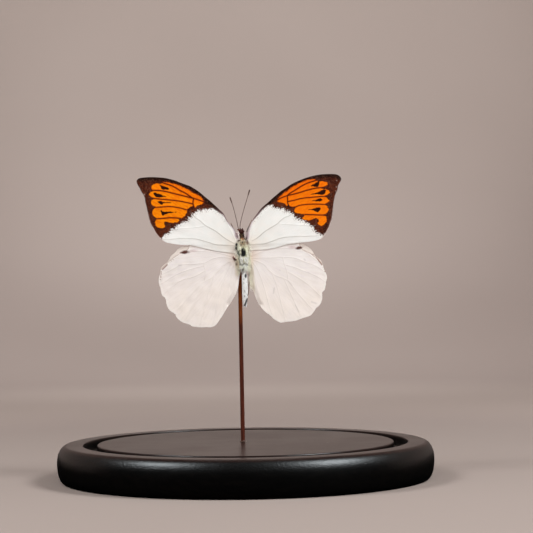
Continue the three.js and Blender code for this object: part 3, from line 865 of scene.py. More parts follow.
def wing(name, outline, veins, y0, ridge, sag, seed):
    """A thin closed sheet with raised veins. Returns its vertices, faces, the side of each face, X-Z of each vertex,
    its outline and the distances to the outline and to the veins.
    """
    edge = soften(smooth_curve(outline, 0.24, True), 1.1)
    r = np.random.default_rng(seed)
    step = WING_H
    lo, hi = edge.min(0), edge.max(0)
    xs = np.arange(lo[0], hi[0], step)
    zs = np.arange(lo[1], hi[1], step * 0.866)
    gx, gz = np.meshgrid(xs, zs)
    gx = gx + (np.arange(len(zs)) % 2)[:, None] * step / 2
    P = np.stack([gx.ravel(), gz.ravel()], 1)
    P += r.uniform(-0.02, 0.02, P.shape)
    P = P[inside(P, edge)]
    P = P[dist_to(P, edge, True) > 0.16]
    lines = []
    for v in veins:
        c = smooth_curve(v, 0.24)
        lines.append(c)
    allv = []
    for c in lines:
        t = unit(np.gradient(c, axis=0))
        nrm = np.stack([-t[:, 1], t[:, 0]], 1)
        for off in (-0.17, -0.08, 0.0, 0.08, 0.17):
            allv.append(c + nrm * off)
    V = np.vstack(allv)
    V = V[inside(V, edge)]
    V = V[dist_to(V, edge, True) > 0.12]
    # vein points closer than 0.06 mm to one another, where veins meet, are thinned
    key = np.round(V / 0.06).astype(int)
    _, first = np.unique(key, axis=0, return_index=True)
    V = V[np.sort(first)]
    near = np.full(len(P), 9.0)
    for c in lines:
        near = np.minimum(near, dist_to(P, c))
    P = P[near > 0.27]
    pts = np.vstack([edge, V, P])
    ne = len(edge)
    made = delaunay_2d_cdt([Vector(p) for p in pts], [], [list(range(ne))], 1, 1e-7, False)
    xy = np.array([tuple(p) for p in made[0]])
    tri = np.array([f for f in made[2] if len(f) == 3])
    tri = tri[inside(xy[tri].mean(1), edge)]
    # counter-clockwise in X-Z faces -Y
    a, b, c = xy[tri[:, 0]], xy[tri[:, 1]], xy[tri[:, 2]]
    ccw = (b[:, 0] - a[:, 0]) * (c[:, 1] - a[:, 1]) - (b[:, 1] - a[:, 1]) * (c[:, 0] - a[:, 0])
    tri[ccw < 0] = tri[ccw < 0][:, ::-1]
    x, z = xy[:, 0], xy[:, 1]
    d_edge = dist_to(xy, edge, True)
    d_vein = np.full(len(xy), 9.0)
    for c in lines:
        d_vein = np.minimum(d_vein, dist_to(xy, c))
    mid = y0 + sheet_bend(x, z)
    mid = mid + sag * (1 - np.exp(-(d_vein / 1.1) ** 1.5)) * sstep(d_edge, 0, 1.2)  # the membrane lies back between veins
    mid = mid + 0.05 * wave2(x, z, seed, 6.0) * sstep(d_edge, 0, 2)
    half = 0.03 + 0.035 * sstep(d_edge, 0, 0.6)
    bump_ = ridge * np.exp(-(d_vein / 0.11) ** 2) * sstep(d_edge, 0, 0.5)
    front = np.stack([x, mid - half - bump_, z], 1)
    back = np.stack([x, mid + half + bump_, z], 1)
    n = len(xy)
    e = np.vstack([tri[:, [0, 1]], tri[:, [1, 2]], tri[:, [2, 0]]])
    s = np.sort(e, 1)
    _, idx, cnt = np.unique(s, axis=0, return_index=True, return_counts=True)
    rim = e[idx[cnt == 1]]
    f_rim = np.vstack([np.stack([rim[:, 1], rim[:, 0], rim[:, 0] + n], 1), np.stack([rim[:, 1], rim[:, 0] + n, rim[:, 1] + n], 1)])
    verts = np.vstack([front, back])
    faces = np.vstack([tri, tri[:, ::-1] + n, f_rim])
    kinds = np.concatenate([np.zeros(len(tri), int), np.ones(len(tri), int), np.zeros(len(f_rim), int)])
    return verts, faces, kinds, xy, edge, d_edge, d_vein


def doubled(a):
    return np.concatenate([a, a])


def bake_map(o, xy, n, faces):
    """A flat map: upper side on the left half, underside on the right."""
    lo, hi = xy.min(0) - 0.3, xy.max(0) + 0.3
    s = 0.98 / max(2 * (hi[0] - lo[0]) / 1.0, (hi[1] - lo[1]))
    w = np.vstack([xy, xy])
    u = (w - lo) / (hi - lo) * np.array([0.49, 0.98]) + 0.005
    u[n:, 0] += 0.5
    uv = u[faces]
    rim = (faces < n).any(1) & (faces >= n).any(1)
    mid = (lo + hi) / 2
    out = unit(w - mid) * 0.012
    corner = faces[rim]
    uvr = u[corner % n] + np.where((corner >= n)[:, :, None], out[corner], 0.0)
    uv[rim] = np.clip(uvr, 0.001, 0.999)
    layer = o.data.uv_layers.new(name="OFBake")
    layer.uv.foreach_set("vector", uv.astype(np.float32).ravel())


def common_attrs(o, xy, d_edge, d_vein, root_at):
    x, z = xy[:, 0], xy[:, 1]
    dx, dz = x - root_at[0], z - root_at[1]
    rad = np.hypot(dx, dz)
    ang = np.arctan2(dz, np.abs(dx) + 1e-6) if root_at[0] < 0 or True else 0
    put_attr(o, "rad", doubled(rad))
    put_attr(o, "ang", doubled(ang * 20.0))
    put_attr(o, "edge", doubled(d_edge))
    put_attr(o, "vein", doubled(d_vein))


def outside_strip(curve, box):
    """A closed region beyond a boundary curve: the curve, then round through the given far points."""
    return np.vstack([curve, np.asarray(box, float)])


# -- wing materials ---------------------------------------------------------------------------
def wing_scales(g, c, height, strength=0.25):
    """Fine rows of scales over a wing, as bump, on top of a larger height."""
    fine = g.noise(c, 5200, 2.0, 0.6)
    rows = g.noise(g.xyz(g.math("MULTIPLY", g.attr("ang"), 0.9), g.math("MULTIPLY", g.attr("rad"), 5.0)), 1.6, 1.0, 0.5)
    h = g.math("ADD", g.math("MULTIPLY", fine, 0.5), g.math("MULTIPLY", rows, 0.5))
    h = g.math("ADD", h, height)
    g.bump(h, strength, 0.00006)


def fore_upper():
    g = Graph("forewing_scales", Roughness=0.62, IOR=1.45, Specular_IOR_Level=0.11)
    c = g.coords()
    soft = g.noise(c, 260, 2.0, 0.5)
    mottle = g.noise(c, 1500, 3.0, 0.6)
    fine = g.noise(c, 4200, 2.0, 0.65)
    rad, ang = g.attr("rad"), g.attr("ang")
    streak = g.noise(g.xyz(g.math("MULTIPLY", ang, 1.0), g.math("MULTIPLY", rad, 0.10)), 2.4, 3.0, 0.55)
    # white ground, creamier by the body
    white = g.mix(g.step(rad, 3.0, 20.0), lin(240, 234, 225), lin(246, 243, 238))
    white = g.mix(g.math("MULTIPLY", g.step(soft, 0.40, 0.62), 0.35), white, lin(238, 240, 236))
    white = g.mix(g.step(streak, 0.40, 0.68, 0.0, 0.22), white, lin(226, 222, 214))
    white = g.mix(g.step(fine, 0.45, 0.75, 0.0, 0.10), white, lin(214, 208, 200))
    # fine grey lines along the veins of the white part, strongest towards the body
    wv = g.math("ADD", g.attr("wvein"), g.math("MULTIPLY", g.math("SUBTRACT", mottle, 0.5), 0.10))
    line = g.math("MULTIPLY", g.step(wv, 0.36, 0.04), g.step(rad, 36.0, 6.0, 0.30, 0.80))
    white = g.mix(line, white, lin(186, 180, 170))
    # warm cast close to the wing root, lilac translucent front edge
    white = g.mix(g.step(rad, 7.0, 2.0, 0.0, 0.55), white, lin(232, 218, 202))
    white = g.mix(g.attr("lilac"), white, lin(196, 180, 186))
    white = g.mix(g.attr("costaline"), white, lin(126, 102, 100))
    # dark tip and front edge, feathered along the run of the scales
    ray = g.noise(g.xyz(ang, g.math("MULTIPLY", rad, 0.16)), 1.9, 2.0, 0.6)
    ray2 = g.noise(g.xyz(g.math("ADD", ang, 7.3), g.math("MULTIPLY", rad, 0.30)), 4.2, 1.0, 0.6)
    rag = g.math("ADD", g.math("MULTIPLY", g.math("SUBTRACT", ray, 0.5), 3.0), g.math("MULTIPLY", g.math("SUBTRACT", ray2, 0.5), 3.0))
    rag = g.math("ADD", rag, g.math("MULTIPLY", g.math("SUBTRACT", mottle, 0.5), 0.5))
    inner_edge = g.step(g.attr("costa"), 0.8, 2.6)
    d = g.math("ADD", g.attr("dark"), g.math("MULTIPLY", rag, inner_edge))
    brown = g.mix(g.step(soft, 0.35, 0.65), lin(84, 32, 14), lin(62, 21, 9))
    brown = g.mix(g.step(mottle, 0.46, 0.68, 0.0, 0.55), brown, lin(112, 52, 26))
    brown = g.mix(g.step(mottle, 0.50, 0.34, 0.0, 0.65), brown, lin(38, 15, 9))
    brown = g.mix(g.step(ray, 0.50, 0.72, 0.0, 0.5), brown, lin(34, 13, 7))
    brown = g.mix(g.step(g.attr("costa"), 2.5, 0.6, 0.0, 0.92), brown, lin(16, 5, 3))
    # towards the root the front edge thins to a lilac grey line
    thinning = g.math("MULTIPLY", g.step(rad, 21.0, 14.0, 0.0, 0.85), g.step(g.attr("costa"), 2.0, 0.8))
    brown = g.mix(thinning, brown, lin(126, 102, 104))
    brown = g.mix(g.step(d, 0.45, -0.05, 0.0, 0.42), brown, lin(100, 58, 42))
    col = g.mix(g.step(d, -0.36, 0.36), white, brown)
    # loose dark scales over the white, just past the edge
    loose = g.math("MULTIPLY", g.step(g.noise(c, 3000, 1.0, 0.5), 0.56, 0.66), g.step(g.attr("dark"), -2.2, -0.2))
    col = g.mix(g.math("MULTIPLY", loose, 0.75), col, lin(104, 70, 54))
    # orange: burnt rim, redder near the front edge, darker runs of scales beside the veins
    burn = g.math("ADD", g.math("MULTIPLY", g.math("SUBTRACT", ray, 0.5), 1.1), g.math("MULTIPLY", g.math("SUBTRACT", mottle, 0.5), 0.55))
    front = g.step(g.attr("costa"), 3.4, 1.6)
    o = g.math("SUBTRACT", g.math("ADD", g.attr("orange"), burn), g.math("MULTIPLY", front, 0.30))
    hot = g.mix(g.step(g.attr("costa"), 1.4, 7.0), lin(255, 126, 0), lin(255, 143, 0))
    hot = g.mix(g.step(g.attr("orange"), 1.1, 0.2, 0.0, 0.30), hot, lin(255, 150, 0))
    hot = g.mix(g.step(fine, 0.44, 0.70, 0.0, 0.50), hot, lin(222, 86, 0))
    hot = g.mix(g.step(mottle, 0.52, 0.70, 0.0, 0.45), hot, lin(255, 160, 8))
    hot = g.mix(g.step(streak, 0.46, 0.64, 0.0, 0.50), hot, lin(230, 94, 0))
    hot = g.mix(g.step(ray, 0.50, 0.68, 0.0, 0.30), hot, lin(214, 80, 0))
    hot = g.mix(g.step(g.attr("ovein"), 0.62, 0.05, 0.0, 0.58), hot, lin(214, 76, 0))
    hot = g.mix(g.math("MULTIPLY", g.attr("redder"), 0.35), hot, lin(238, 94, 0))
    near_front = g.math("MULTIPLY", g.step(g.attr("costa"), 3.4, 1.4), g.step(ray2, 0.50, 0.66))
    hot = g.mix(g.math("MULTIPLY", near_front, 0.42), hot, lin(150, 48, 2))
    col = g.mix(g.step(o, -0.24, 0.02), col, lin(120, 44, 6))
    col = g.mix(g.step(o, -0.06, 0.20), col, hot)
    # burnt streaks where the orange runs out towards the front edge
    singe = g.math("ADD", o, g.math("MULTIPLY", g.math("SUBTRACT", streak, 0.5), 2.2))
    singe = g.math("MULTIPLY", g.step(singe, 0.60, 0.0), g.math("MULTIPLY", front, g.step(o, -0.1, 0.1)))
    col = g.mix(g.math("MULTIPLY", singe, 0.75), col, lin(150, 46, 2))
    # the dark wedges inside the orange are nearly black
    col = g.mix(g.math("MULTIPLY", g.attr("wedge"), g.step(o, 0.06, -0.14)), col, lin(44, 16, 7))
    ov = g.attr("ovein")
    under = g.step(g.math("ADD", ov, g.math("MULTIPLY", g.math("SUBTRACT", ray2, 0.5), 0.16)), 0.17, 0.0)
    col = g.mix(g.math("MULTIPLY", under, g.step(g.attr("orange"), -0.3, 0.3, 0.0, 0.92)), col, lin(58, 14, 3))
    # pale scale fringe and nicks of the outer margin
    col = g.mix(g.attr("pale"), col, lin(206, 182, 172))
    g.set("Base Color", col)
    g.set("Roughness", g.step(d, -0.2, 0.3, 0.66, 0.52))
    wing_scales(g, c, g.math("MULTIPLY", g.step(g.attr("vein"), 0.3, 0.0), 0.9))
    return g.mat


def fore_under():
    g = Graph("forewing_underside", Roughness=0.7, IOR=1.45, Specular_IOR_Level=0.16)
    c = g.coords()
    mottle = g.noise(c, 1300, 4.0, 0.65)
    fine = g.noise(c, 3600, 2.0, 0.6)
    speck = g.noise(g.coords((1, 1, 0.35)), 1900, 2.0, 0.7)
    white = g.mix(g.step(mottle, 0.35, 0.7), lin(240, 234, 222), lin(229, 219, 202))
    leaf = g.mix(g.step(mottle, 0.36, 0.64), lin(222, 198, 158), lin(178, 138, 92))
    leaf = g.mix(g.step(speck, 0.55, 0.68, 0.0, 0.8), leaf, lin(118, 78, 46))
    leaf = g.mix(g.step(fine, 0.5, 0.8, 0.0, 0.3), leaf, lin(238, 222, 190))
    tip = g.math("ADD", g.attr("dark"), g.math("MULTIPLY", g.math("SUBTRACT", mottle, 0.5), 5.0))
    col = g.mix(g.step(tip, -1.5, 3.5), white, leaf)
    col = g.mix(g.math("MULTIPLY", g.step(g.attr("orange"), -1.0, 2.0), 0.22), col, lin(244, 176, 96))
    col = g.mix(g.step(g.attr("vein"), 0.25, 0.05, 0.0, 0.55), col, lin(150, 118, 84))
    col = g.mix(g.step(g.attr("costa"), 1.3, 0.2, 0.0, 0.6), col, lin(176, 146, 108))
    g.set("Base Color", col)
    wing_scales(g, c, g.math("MULTIPLY", g.step(g.attr("vein"), 0.3, 0.0), 0.9))
    return g.mat


def hind_upper():
    g = Graph("hindwing_scales", Roughness=0.68, IOR=1.45, Specular_IOR_Level=0.16)
    c = g.coords()
    soft = g.noise(c, 120, 2.0, 0.5)
    mottle = g.noise(c, 1200, 3.0, 0.6)
    fine = g.noise(c, 4200, 2.0, 0.65)
    rad, ang = g.attr("rad"), g.attr("ang")
    streak = g.noise(g.xyz(ang, g.math("MULTIPLY", rad, 0.09)), 1.5, 4.0, 0.6)
    thin = g.noise(g.xyz(ang, g.math("MULTIPLY", rad, 0.06)), 5.0, 2.0, 0.6)
    z = g.split(c)[2]
    ground = g.mix(g.step(z, 0.080, 0.100), lin(247, 235, 225), lin(242, 235, 230))
    ground = g.mix(g.math("MULTIPLY", g.step(soft, 0.38, 0.62), 0.45), ground, lin(243, 233, 228))
    ground = g.mix(g.step(streak, 0.42, 0.66, 0.0, 0.34), ground, lin(231, 219, 208))
    ground = g.mix(g.step(thin, 0.52, 0.70, 0.0, 0.16), ground, lin(222, 211, 203))
    ground = g.mix(g.step(fine, 0.48, 0.78, 0.0, 0.10), ground, lin(216, 204, 196))
    ripple = g.noise(g.xyz(ang, g.math("MULTIPLY", rad, 0.22)), 1.1, 3.0, 0.6)
    ground = g.mix(g.math("MULTIPLY", g.step(ripple, 0.50, 0.64, 0.0, 0.34), g.step(z, 0.082, 0.096)), ground, lin(229, 217, 219))
    # brighter edge, veins with a faint shade on both sides and a lighter centre
    ground = g.mix(g.step(g.attr("edge"), 1.3, 0.2, 0.0, 0.6), ground, lin(249, 240, 232))
    ground = g.mix(g.step(g.attr("vein"), 0.50, 0.14, 0.0, 0.10), ground, lin(206, 192, 186))
    ground = g.mix(g.step(g.attr("vein"), 0.14, 0.02, 0.0, 0.25), ground, lin(252, 242, 232))
    # folded front lobe: beige painted shade over the fold, a darker painted shadow line along its crease and a painted
    # highlight just outside it
    lobe = g.math("ADD", g.attr("lobe"), g.math("MULTIPLY", g.math("SUBTRACT", mottle, 0.5), 0.5))
    ground = g.mix(g.step(lobe, -0.15, 0.25, 0.0, 0.62), ground, lin(207, 190, 176))
    ground = g.mix(g.math("MULTIPLY", g.step(lobe, 0.35, 0.0), g.step(lobe, -0.35, -0.05, 0.0, 0.55)), ground, lin(168, 140, 126))
    ground = g.mix(g.math("MULTIPLY", g.step(lobe, -0.9, -0.4), g.step(lobe, -0.1, -0.4, 0.0, 0.7)), ground, lin(253, 245, 236))
    # tan fold along the body: partly its own tan, partly painted shade of the margin that curls back
    inner = g.math("ADD", g.attr("inner"), g.math("MULTIPLY", g.math("SUBTRACT", mottle, 0.5), 0.6))
    ground = g.mix(g.step(inner, 0.15, 0.90, 0.0, 0.75), ground, lin(237, 225, 206))
    ground = g.mix(g.step(rad, 7.5, 1.5, 0.0, 0.65), ground, lin(230, 206, 186))
    # marks
    ground = g.mix(g.attr("mark"), ground, lin(148, 136, 128))
    ground = g.mix(g.attr("halo"), ground, lin(202, 178, 176))
    spot = g.math("ADD", g.attr("spot"), g.math("MULTIPLY", g.math("SUBTRACT", mottle, 0.5), 0.9))
    ground = g.mix(g.step(spot, -0.40, 0.30), ground, g.mix(g.step(fine, 0.35, 0.7), lin(70, 36, 30), lin(112, 74, 66)))
    ground = g.mix(g.attr("stain"), ground, lin(132, 88, 68))
    g.set("Base Color", ground)
    wing_scales(g, c, g.math("MULTIPLY", g.step(g.attr("vein"), 0.3, 0.0), 0.9))
    return g.mat


def hind_under():
    g = Graph("hindwing_underside", Roughness=0.74, IOR=1.45, Specular_IOR_Level=0.16)
    c = g.coords()
    big = g.noise(c, 150, 3.0, 0.6)
    mottle = g.noise(c, 1000, 4.0, 0.7)
    speck = g.noise(g.coords((1, 1, 0.3)), 2100, 2.0, 0.7)
    fine = g.noise(c, 4200, 2.0, 0.6)
    leaf = g.mix(g.step(big, 0.35, 0.65), lin(226, 205, 166), lin(203, 172, 124))
    leaf = g.mix(g.step(mottle, 0.40, 0.66, 0.0, 0.6), leaf, lin(180, 142, 98))
    leaf = g.mix(g.step(speck, 0.52, 0.66, 0.0, 0.75), leaf, lin(126, 86, 54))
    leaf = g.mix(g.step(fine, 0.55, 0.8, 0.0, 0.35), leaf, lin(240, 226, 196))
    leaf = g.mix(g.attr("midrib"), leaf, lin(104, 66, 40))
    leaf = g.mix(g.step(g.attr("vein"), 0.22, 0.04, 0.0, 0.5), leaf, lin(158, 120, 80))
    leaf = g.mix(g.step(g.attr("inner"), 0.1, 0.9, 0.0, 0.75), leaf, lin(232, 220, 196))
    g.set("Base Color", leaf)
    wing_scales(g, c, g.math("MULTIPLY", g.step(g.attr("vein"), 0.3, 0.0), 0.9))
    return g.mat


MAT_FORE_UP, MAT_FORE_UN = fore_upper(), fore_under()
MAT_HIND_UP, MAT_HIND_UN = hind_upper(), hind_under()

FRINGE = []  # root, way, length, shade for the scale fringe of each wing


def make_fore(side, outline, orange, arrows, oveins, dark, wveins):
    left = side == "left"
    s = -1.0 if left else 1.0
    vein_lines = [oveins["R"], oveins["M1"], oveins["M2"], oveins["M3"], oveins["Cu"], oveins["X"],
                  wveins["cell"], wveins["anal"], wveins["cu2"],
                  list(wveins["radius"]) + [oveins["Rc"][-1], oveins["Rc"][0]]]
    name = "forewing_" + side + "_sheet"
    verts, faces, kinds, xy, edge, d_edge, d_vein = wing(name, outline, vein_lines, FORE_Y, 0.028, 0.035, 21 if left else 22)
    n = len(xy)
    x, z = xy[:, 0], xy[:, 1]
    rest = 0.13 * np.exp(-(d_edge / 2.4) ** 2) * (1 - sstep(z, 104.8, 106.6)) * (1 - sstep(np.abs(x), 30, 36)) + 0.06 * (1 - sstep(np.abs(x), 4, 16)) * (1 - sstep(z, 104.0, 107.0))
    verts[:n, 1] += rest
    verts[n:, 1] += rest
    o = new_mesh(name, verts, faces, [MAT_FORE_UP, MAT_FORE_UN], kinds, True, 50)
    root_at = (-2.2, 105.6) if left else (2.2, 105.2)
    common_attrs(o, xy, d_edge, d_vein, root_at)
    rad = np.hypot(x - root_at[0], z - root_at[1])
    or_c = smooth_curve(orange, 0.12, True)
    so = signed(xy, or_c)
    for a in arrows:
        so = np.minimum(so, -signed(xy, smooth_curve(a, 0.08, True)))
    put_attr(o, "orange", doubled(np.clip(so, -4, 4)))
    put_attr(o, "redder", doubled(np.full(n, 0.0 if left else 1.0)))
    wedge = np.zeros(n)
    for a in arrows:
        wedge = np.maximum(wedge, sstep(-dist_to(xy, np.asarray(a, float), True) * ~inside(xy, np.asarray(a, float)), -0.5, -0.15))
    put_attr(o, "wedge", doubled(wedge))
    widths = {"R": 0.18, "Rc": 0.15, "M1": 0.18, "M2": 0.16, "M3": 0.15, "Cu": 0.18, "X": 0.18}
    ov = np.full(n, 9.0)
    for k, c in oveins.items():
        ov = np.minimum(ov, dist_to(xy, smooth_curve(c, 0.15)) - widths[k])
    put_attr(o, "ovein", doubled(np.clip(ov, -1, 4)))
    wv = np.full(n, 9.0)
    for k, c in wveins.items():
        extra = {"cell": 0.0, "anal": 0.0, "cu2": 0.22, "radius": 0.30}[k]
        wv = np.minimum(wv, dist_to(xy, smooth_curve(c, 0.2)) + extra)
    put_attr(o, "wvein", doubled(np.clip(wv, 0, 4)))
    d = np.asarray(dark, float)
    if left:
        far = [(-7.0, 117.2), (-2.0, 120.0), (-2.0, 150.0), (-62.0, 150.0), (-62.0, 100.0), (-38.2, 107.2)]
    else:
        far = [(38.8, 109.0), (60.0, 100.0), (60.0, 150.0), (2.0, 150.0), (2.0, 120.0), (4.8, 116.6)]
    region = np.vstack([arc_resample(d, 0.2), np.asarray(far)])
    dk = np.clip(signed(xy, region), -6, 6)
    dk = dk - 0.1 * (1 - sstep(z, 117.5, 124.5)) + (0.45 * sstep(z, 111.5, 115.0) * (1 - sstep(z, 123.5, 126.5)) if left else 0.0)
    put_attr(o, "dark", doubled(dk))
    # the front edge, from the root to the tip
    tip = int(np.argmax(edge[:, 1] - 0.02 * s * edge[:, 0] * 0 + 0.6 * s * edge[:, 0]))
    costa_pts = edge[(edge[:, 1] > 108.5)]
    top = np.array([p for p in outline if p[1] > 108.2])
    order = []
    for p in outline:
        order.append(p)
        if abs(p[0]) > 44.2:
            break
    costa = smooth_curve(order, 0.3)
    dc = dist_to(xy, costa)
    put_attr(o, "costa", doubled(np.clip(dc, 0, 12)))
    # lilac translucent strip and a brown line along the base of the front edge
    span = sstep(z, 106.5, 109.5) * (1 - sstep(z, 119.5, 124.0))
    put_attr(o, "lilac", doubled(sstep(-dc, -0.75, -0.15) * span * 0.85))
    span2 = (sstep(z, 111.5, 119.0) if left else 0.8 * sstep(z, 114.0, 121.0)) * (1 - sstep(z, 125.5, 128.0))
    put_attr(o, "costaline", doubled(sstep(-dc, -0.50, -0.12) * span2 * 0.72))
    # pale nicks of the outer margin
    outer = sstep(np.abs(x), 34.0, 36.0)
    t_low = sstep(-z, -124.0, -112.0) * sstep(z, 106.2, 108.5)
    nick = 0.0
    spots = [((-44.2, 129.1), 0.22)] if left else [((42.7, 134.3), 0.20), ((42.5, 131.4), 0.20), ((42.2, 129.6), 0.18)]
    for (cx, cz), r in spots:
        nick = np.maximum(nick, 1 - sstep(np.hypot(x - cx, z - cz), r * 0.5, r * 1.3))
    pale = np.maximum(outer * t_low * sstep(-d_edge, -0.38, -0.05) * 0.9, nick * 0.85)
    put_attr(o, "pale", doubled(pale))
    bake_map(o, xy, n, faces)
    place(o, "forewing", "forewing_" + side)
    return o, xy, edge, verts[:n], costa


def make_hind(side, outline, veins, lobe, marks, spot, halo, stain):
    left = side == "left"
    name = "hindwing_" + side + "_sheet"
    verts, faces, kinds, xy, edge, d_edge, d_vein = wing(name, outline, list(veins.values()), HIND_Y, 0.022, 0.035, 31 if left else 32)
    n = len(xy)
    x, z = xy[:, 0], xy[:, 1]
    s = -1.0 if left else 1.0
    # the inner margin curls back round the body, the lobe folds a little
    inner_pts = [p for p in outline if p[1] < 103.0 and abs(p[0]) < (6.5 if left else 7.5)]
    inner = smooth_curve(sorted(inner_pts, key=lambda p: -p[1]), 0.3)
    di = dist_to(xy, inner)
    curl = 0.7 * (1 - sstep(di, 0.0, 2.2)) ** 1.6 * sstep(104.0 - z, 0, 6)
    dl = np.clip(signed(xy, np.asarray(lobe, float)), -6, 6)
    fold = 0.22 * sstep(dl, -0.1, 1.6)
    verts[:n, 1] += curl + fold
    verts[n:, 1] += curl + fold
    o = new_mesh(name, verts, faces, [MAT_HIND_UP, MAT_HIND_UN], kinds, True, 50)
    root_at = (-2.4, 101.5) if left else (2.4, 101.5)
    common_attrs(o, xy, d_edge, d_vein, root_at)
    run = [(-2.6, 101.5), (-3.0, 97.0), (-2.9, 92.5)] if left else [(3.4, 101.5), (3.9, 94.4), (4.25, 88.0), (4.2, 83.0)]
    put_attr(o, "inner", doubled(1 - sstep(dist_to(xy, run), 0.3, 1.5)))
    put_attr(o, "lobe", doubled(dl))
    m = np.zeros(n)
    for k, line in enumerate(marks):
        w = 0.32 if k % 3 else 0.42
        m = np.maximum(m, (1 - sstep(dist_to(xy, line), w * 0.1, w * 1.3)) * (0.26, 0.17, 0.13)[k % 3])
    put_attr(o, "mark", doubled(m))
    (cx, cz), (rx, rz), turn = spot
    ca, sa = math.cos(turn), math.sin(turn)
    u = ((x - cx) * ca + (z - cz) * sa) / rx
    v = (-(x - cx) * sa + (z - cz) * ca) / rz
    put_attr(o, "spot", doubled(np.clip((1 - np.hypot(u, v)) * min(rx, rz), -3, 3)))
    (hx, hz), (hrx, hrz), amount = halo
    put_attr(o, "halo", doubled((1 - sstep(np.hypot((x - hx) / hrx, (z - hz) / hrz), 0.2, 1.1)) * amount))
    st = np.zeros(n)
    for line, broken in stain:
        one = 1 - sstep(dist_to(xy, line), 0.10, 0.42)
        if broken:
            one = one * sstep(wave2(x * 2.2, z * 2.2, 37, 2.0), -0.05, 0.45)
        st = np.maximum(st, one)
    put_attr(o, "stain", doubled(st * 0.85))
    # dark rib of the leaf-like underside, from root to outer margin
    rib = smooth_curve([(s * 3.0, 100.5), (s * 12.0, 95.5), (s * 23.0, 91.8), (s * 36.5, 90.5)], 0.4)
    put_attr(o, "midrib", doubled((1 - sstep(dist_to(xy, rib), 0.15, 0.75)) * 0.7))
    bake_map(o, xy, n, faces)
    place(o, "hindwing", "hindwing_" + side)
    return o, xy, edge, verts[:n], d_edge


fore_l = make_fore("left", FORE_LEFT_OUTLINE, FORE_LEFT_ORANGE, FORE_LEFT_ARROWS, FORE_LEFT_ORANGE_VEINS, FORE_LEFT_DARK, FORE_LEFT_WHITE_VEINS)
fore_r = make_fore("right", FORE_RIGHT_OUTLINE, FORE_RIGHT_ORANGE, FORE_RIGHT_ARROWS, FORE_RIGHT_ORANGE_VEINS, FORE_RIGHT_DARK, FORE_RIGHT_WHITE_VEINS)
hind_l = make_hind("left", HIND_LEFT_OUTLINE, HIND_LEFT_VEINS, HIND_LEFT_LOBE, HIND_LEFT_MARKS,
                   ((-26.35, 102.8), (1.75, 0.72), 0.05), ((-22.6, 103.4), (2.6, 0.8), 0.55), [([(-34.3, 97.3), (-36.5, 95.2)], False), ([(-37.0, 94.2), (-37.5, 90.5)], True), ([(-33.6, 98.2), (-31.4, 99.9)], True)])
hind_r = make_hind("right", HIND_RIGHT_OUTLINE, HIND_RIGHT_VEINS, HIND_RIGHT_LOBE, HIND_RIGHT_MARKS,
                   ((25.3, 104.12), (1.35, 0.58), 0.16), ((22.2, 104.5), (2.6, 0.9), 0.75), [([(33.9, 98.5), (34.9, 97.1), (35.5, 96.3)], False), ([(30.4, 101.8), (32.4, 100.2), (33.9, 98.7)], True), ([(35.6, 96.1), (36.4, 94.8), (36.9, 93.2)], True)])

# -- scale fringe along the outer margins -------------------------------------------------------
def fringe_of(edge, y0, keep, tone, seed, longest=0.42):
    r = np.random.default_rng(seed)
    e = arc_resample(edge, 0.075, True)
    t = unit(np.roll(e, -1, axis=0) - np.roll(e, 1, axis=0))
    area = 0.5 * np.sum(e[:, 0] * np.roll(e[:, 1], -1) - np.roll(e[:, 0], -1) * e[:, 1])
    nrm = np.stack([t[:, 1], -t[:, 0]], 1) * (1 if area > 0 else -1)
    ok = keep(e)
    e, nrm, t = e[ok], nrm[ok], t[ok]
    y = y0 + sheet_bend(e[:, 0], e[:, 1])
    root = np.stack([e[:, 0] - nrm[:, 0] * 0.10, y + r.uniform(-0.03, 0.03, len(e)), e[:, 1] - nrm[:, 1] * 0.10], 1)
    way = np.stack([nrm[:, 0], r.normal(0, 0.08, len(e)), nrm[:, 1]], 1) + np.stack([t[:, 0], 0 * t[:, 0], t[:, 1]], 1) * r.normal(0, 0.16, len(e))[:, None]
    return root, way, r.uniform(0.5, 1.0, len(e)) * longest, tone(e, r)


def paint_fringe(name, slot_name, sets, seed):
    r = np.random.default_rng(seed)
    root = np.vstack([s[0] for s in sets])
    way = np.vstack([s[1] for s in sets])
    ln = np.concatenate([s[2] for s in sets])
    tone = np.vstack([s[3] for s in sets])
    v, f, hair, pl = hairs(root, way, ln, 0.085, np.zeros_like(root), r)
    o = new_mesh(name, v, f, MAT_HAIR, None, False)
    put_colour(o, "tint", tone[hair])
    place(o, slot_name)
    return o


def hair_material():
    g = Graph("fine_hair", Roughness=0.62, IOR=1.45, Sheen_Weight=0.15, Sheen_Roughness=0.4)
    c = g.coords()
    t = g.attr("tint", "Color")
    t = g.mix(g.step(g.noise(c, 2600, 2.0, 0.6), 0.42, 0.70, 0.0, 0.28), t, g.mix(1.0, t, (0.62, 0.56, 0.48, 1), "MULTIPLY"))
    g.set("Base Color", t)
    g.set("Roughness", g.step(g.noise(c, 900, 2.0, 0.5), 0.3, 0.7, 0.5, 0.72))
    return g.mat


MAT_HAIR = hair_material()
C3 = lambda r, g, b: np.array(lin(r, g, b)[:3])


def tone_fore(e, r):
    pale = sstep(-e[:, 1], -124.0, -113.0)[:, None]
    dark = C3(64, 34, 26) * r.uniform(0.7, 1.3, (len(e), 1))
    light = C3(226, 206, 198) * r.uniform(0.85, 1.05, (len(e), 1))
    pick = (r.uniform(0, 1, (len(e), 1)) < pale * 0.92 + 0.05)
    return np.where(pick, light, dark)


def tone_hind(e, r):
    return C3(244, 234, 224) * r.uniform(0.82, 1.04, (len(e), 1))


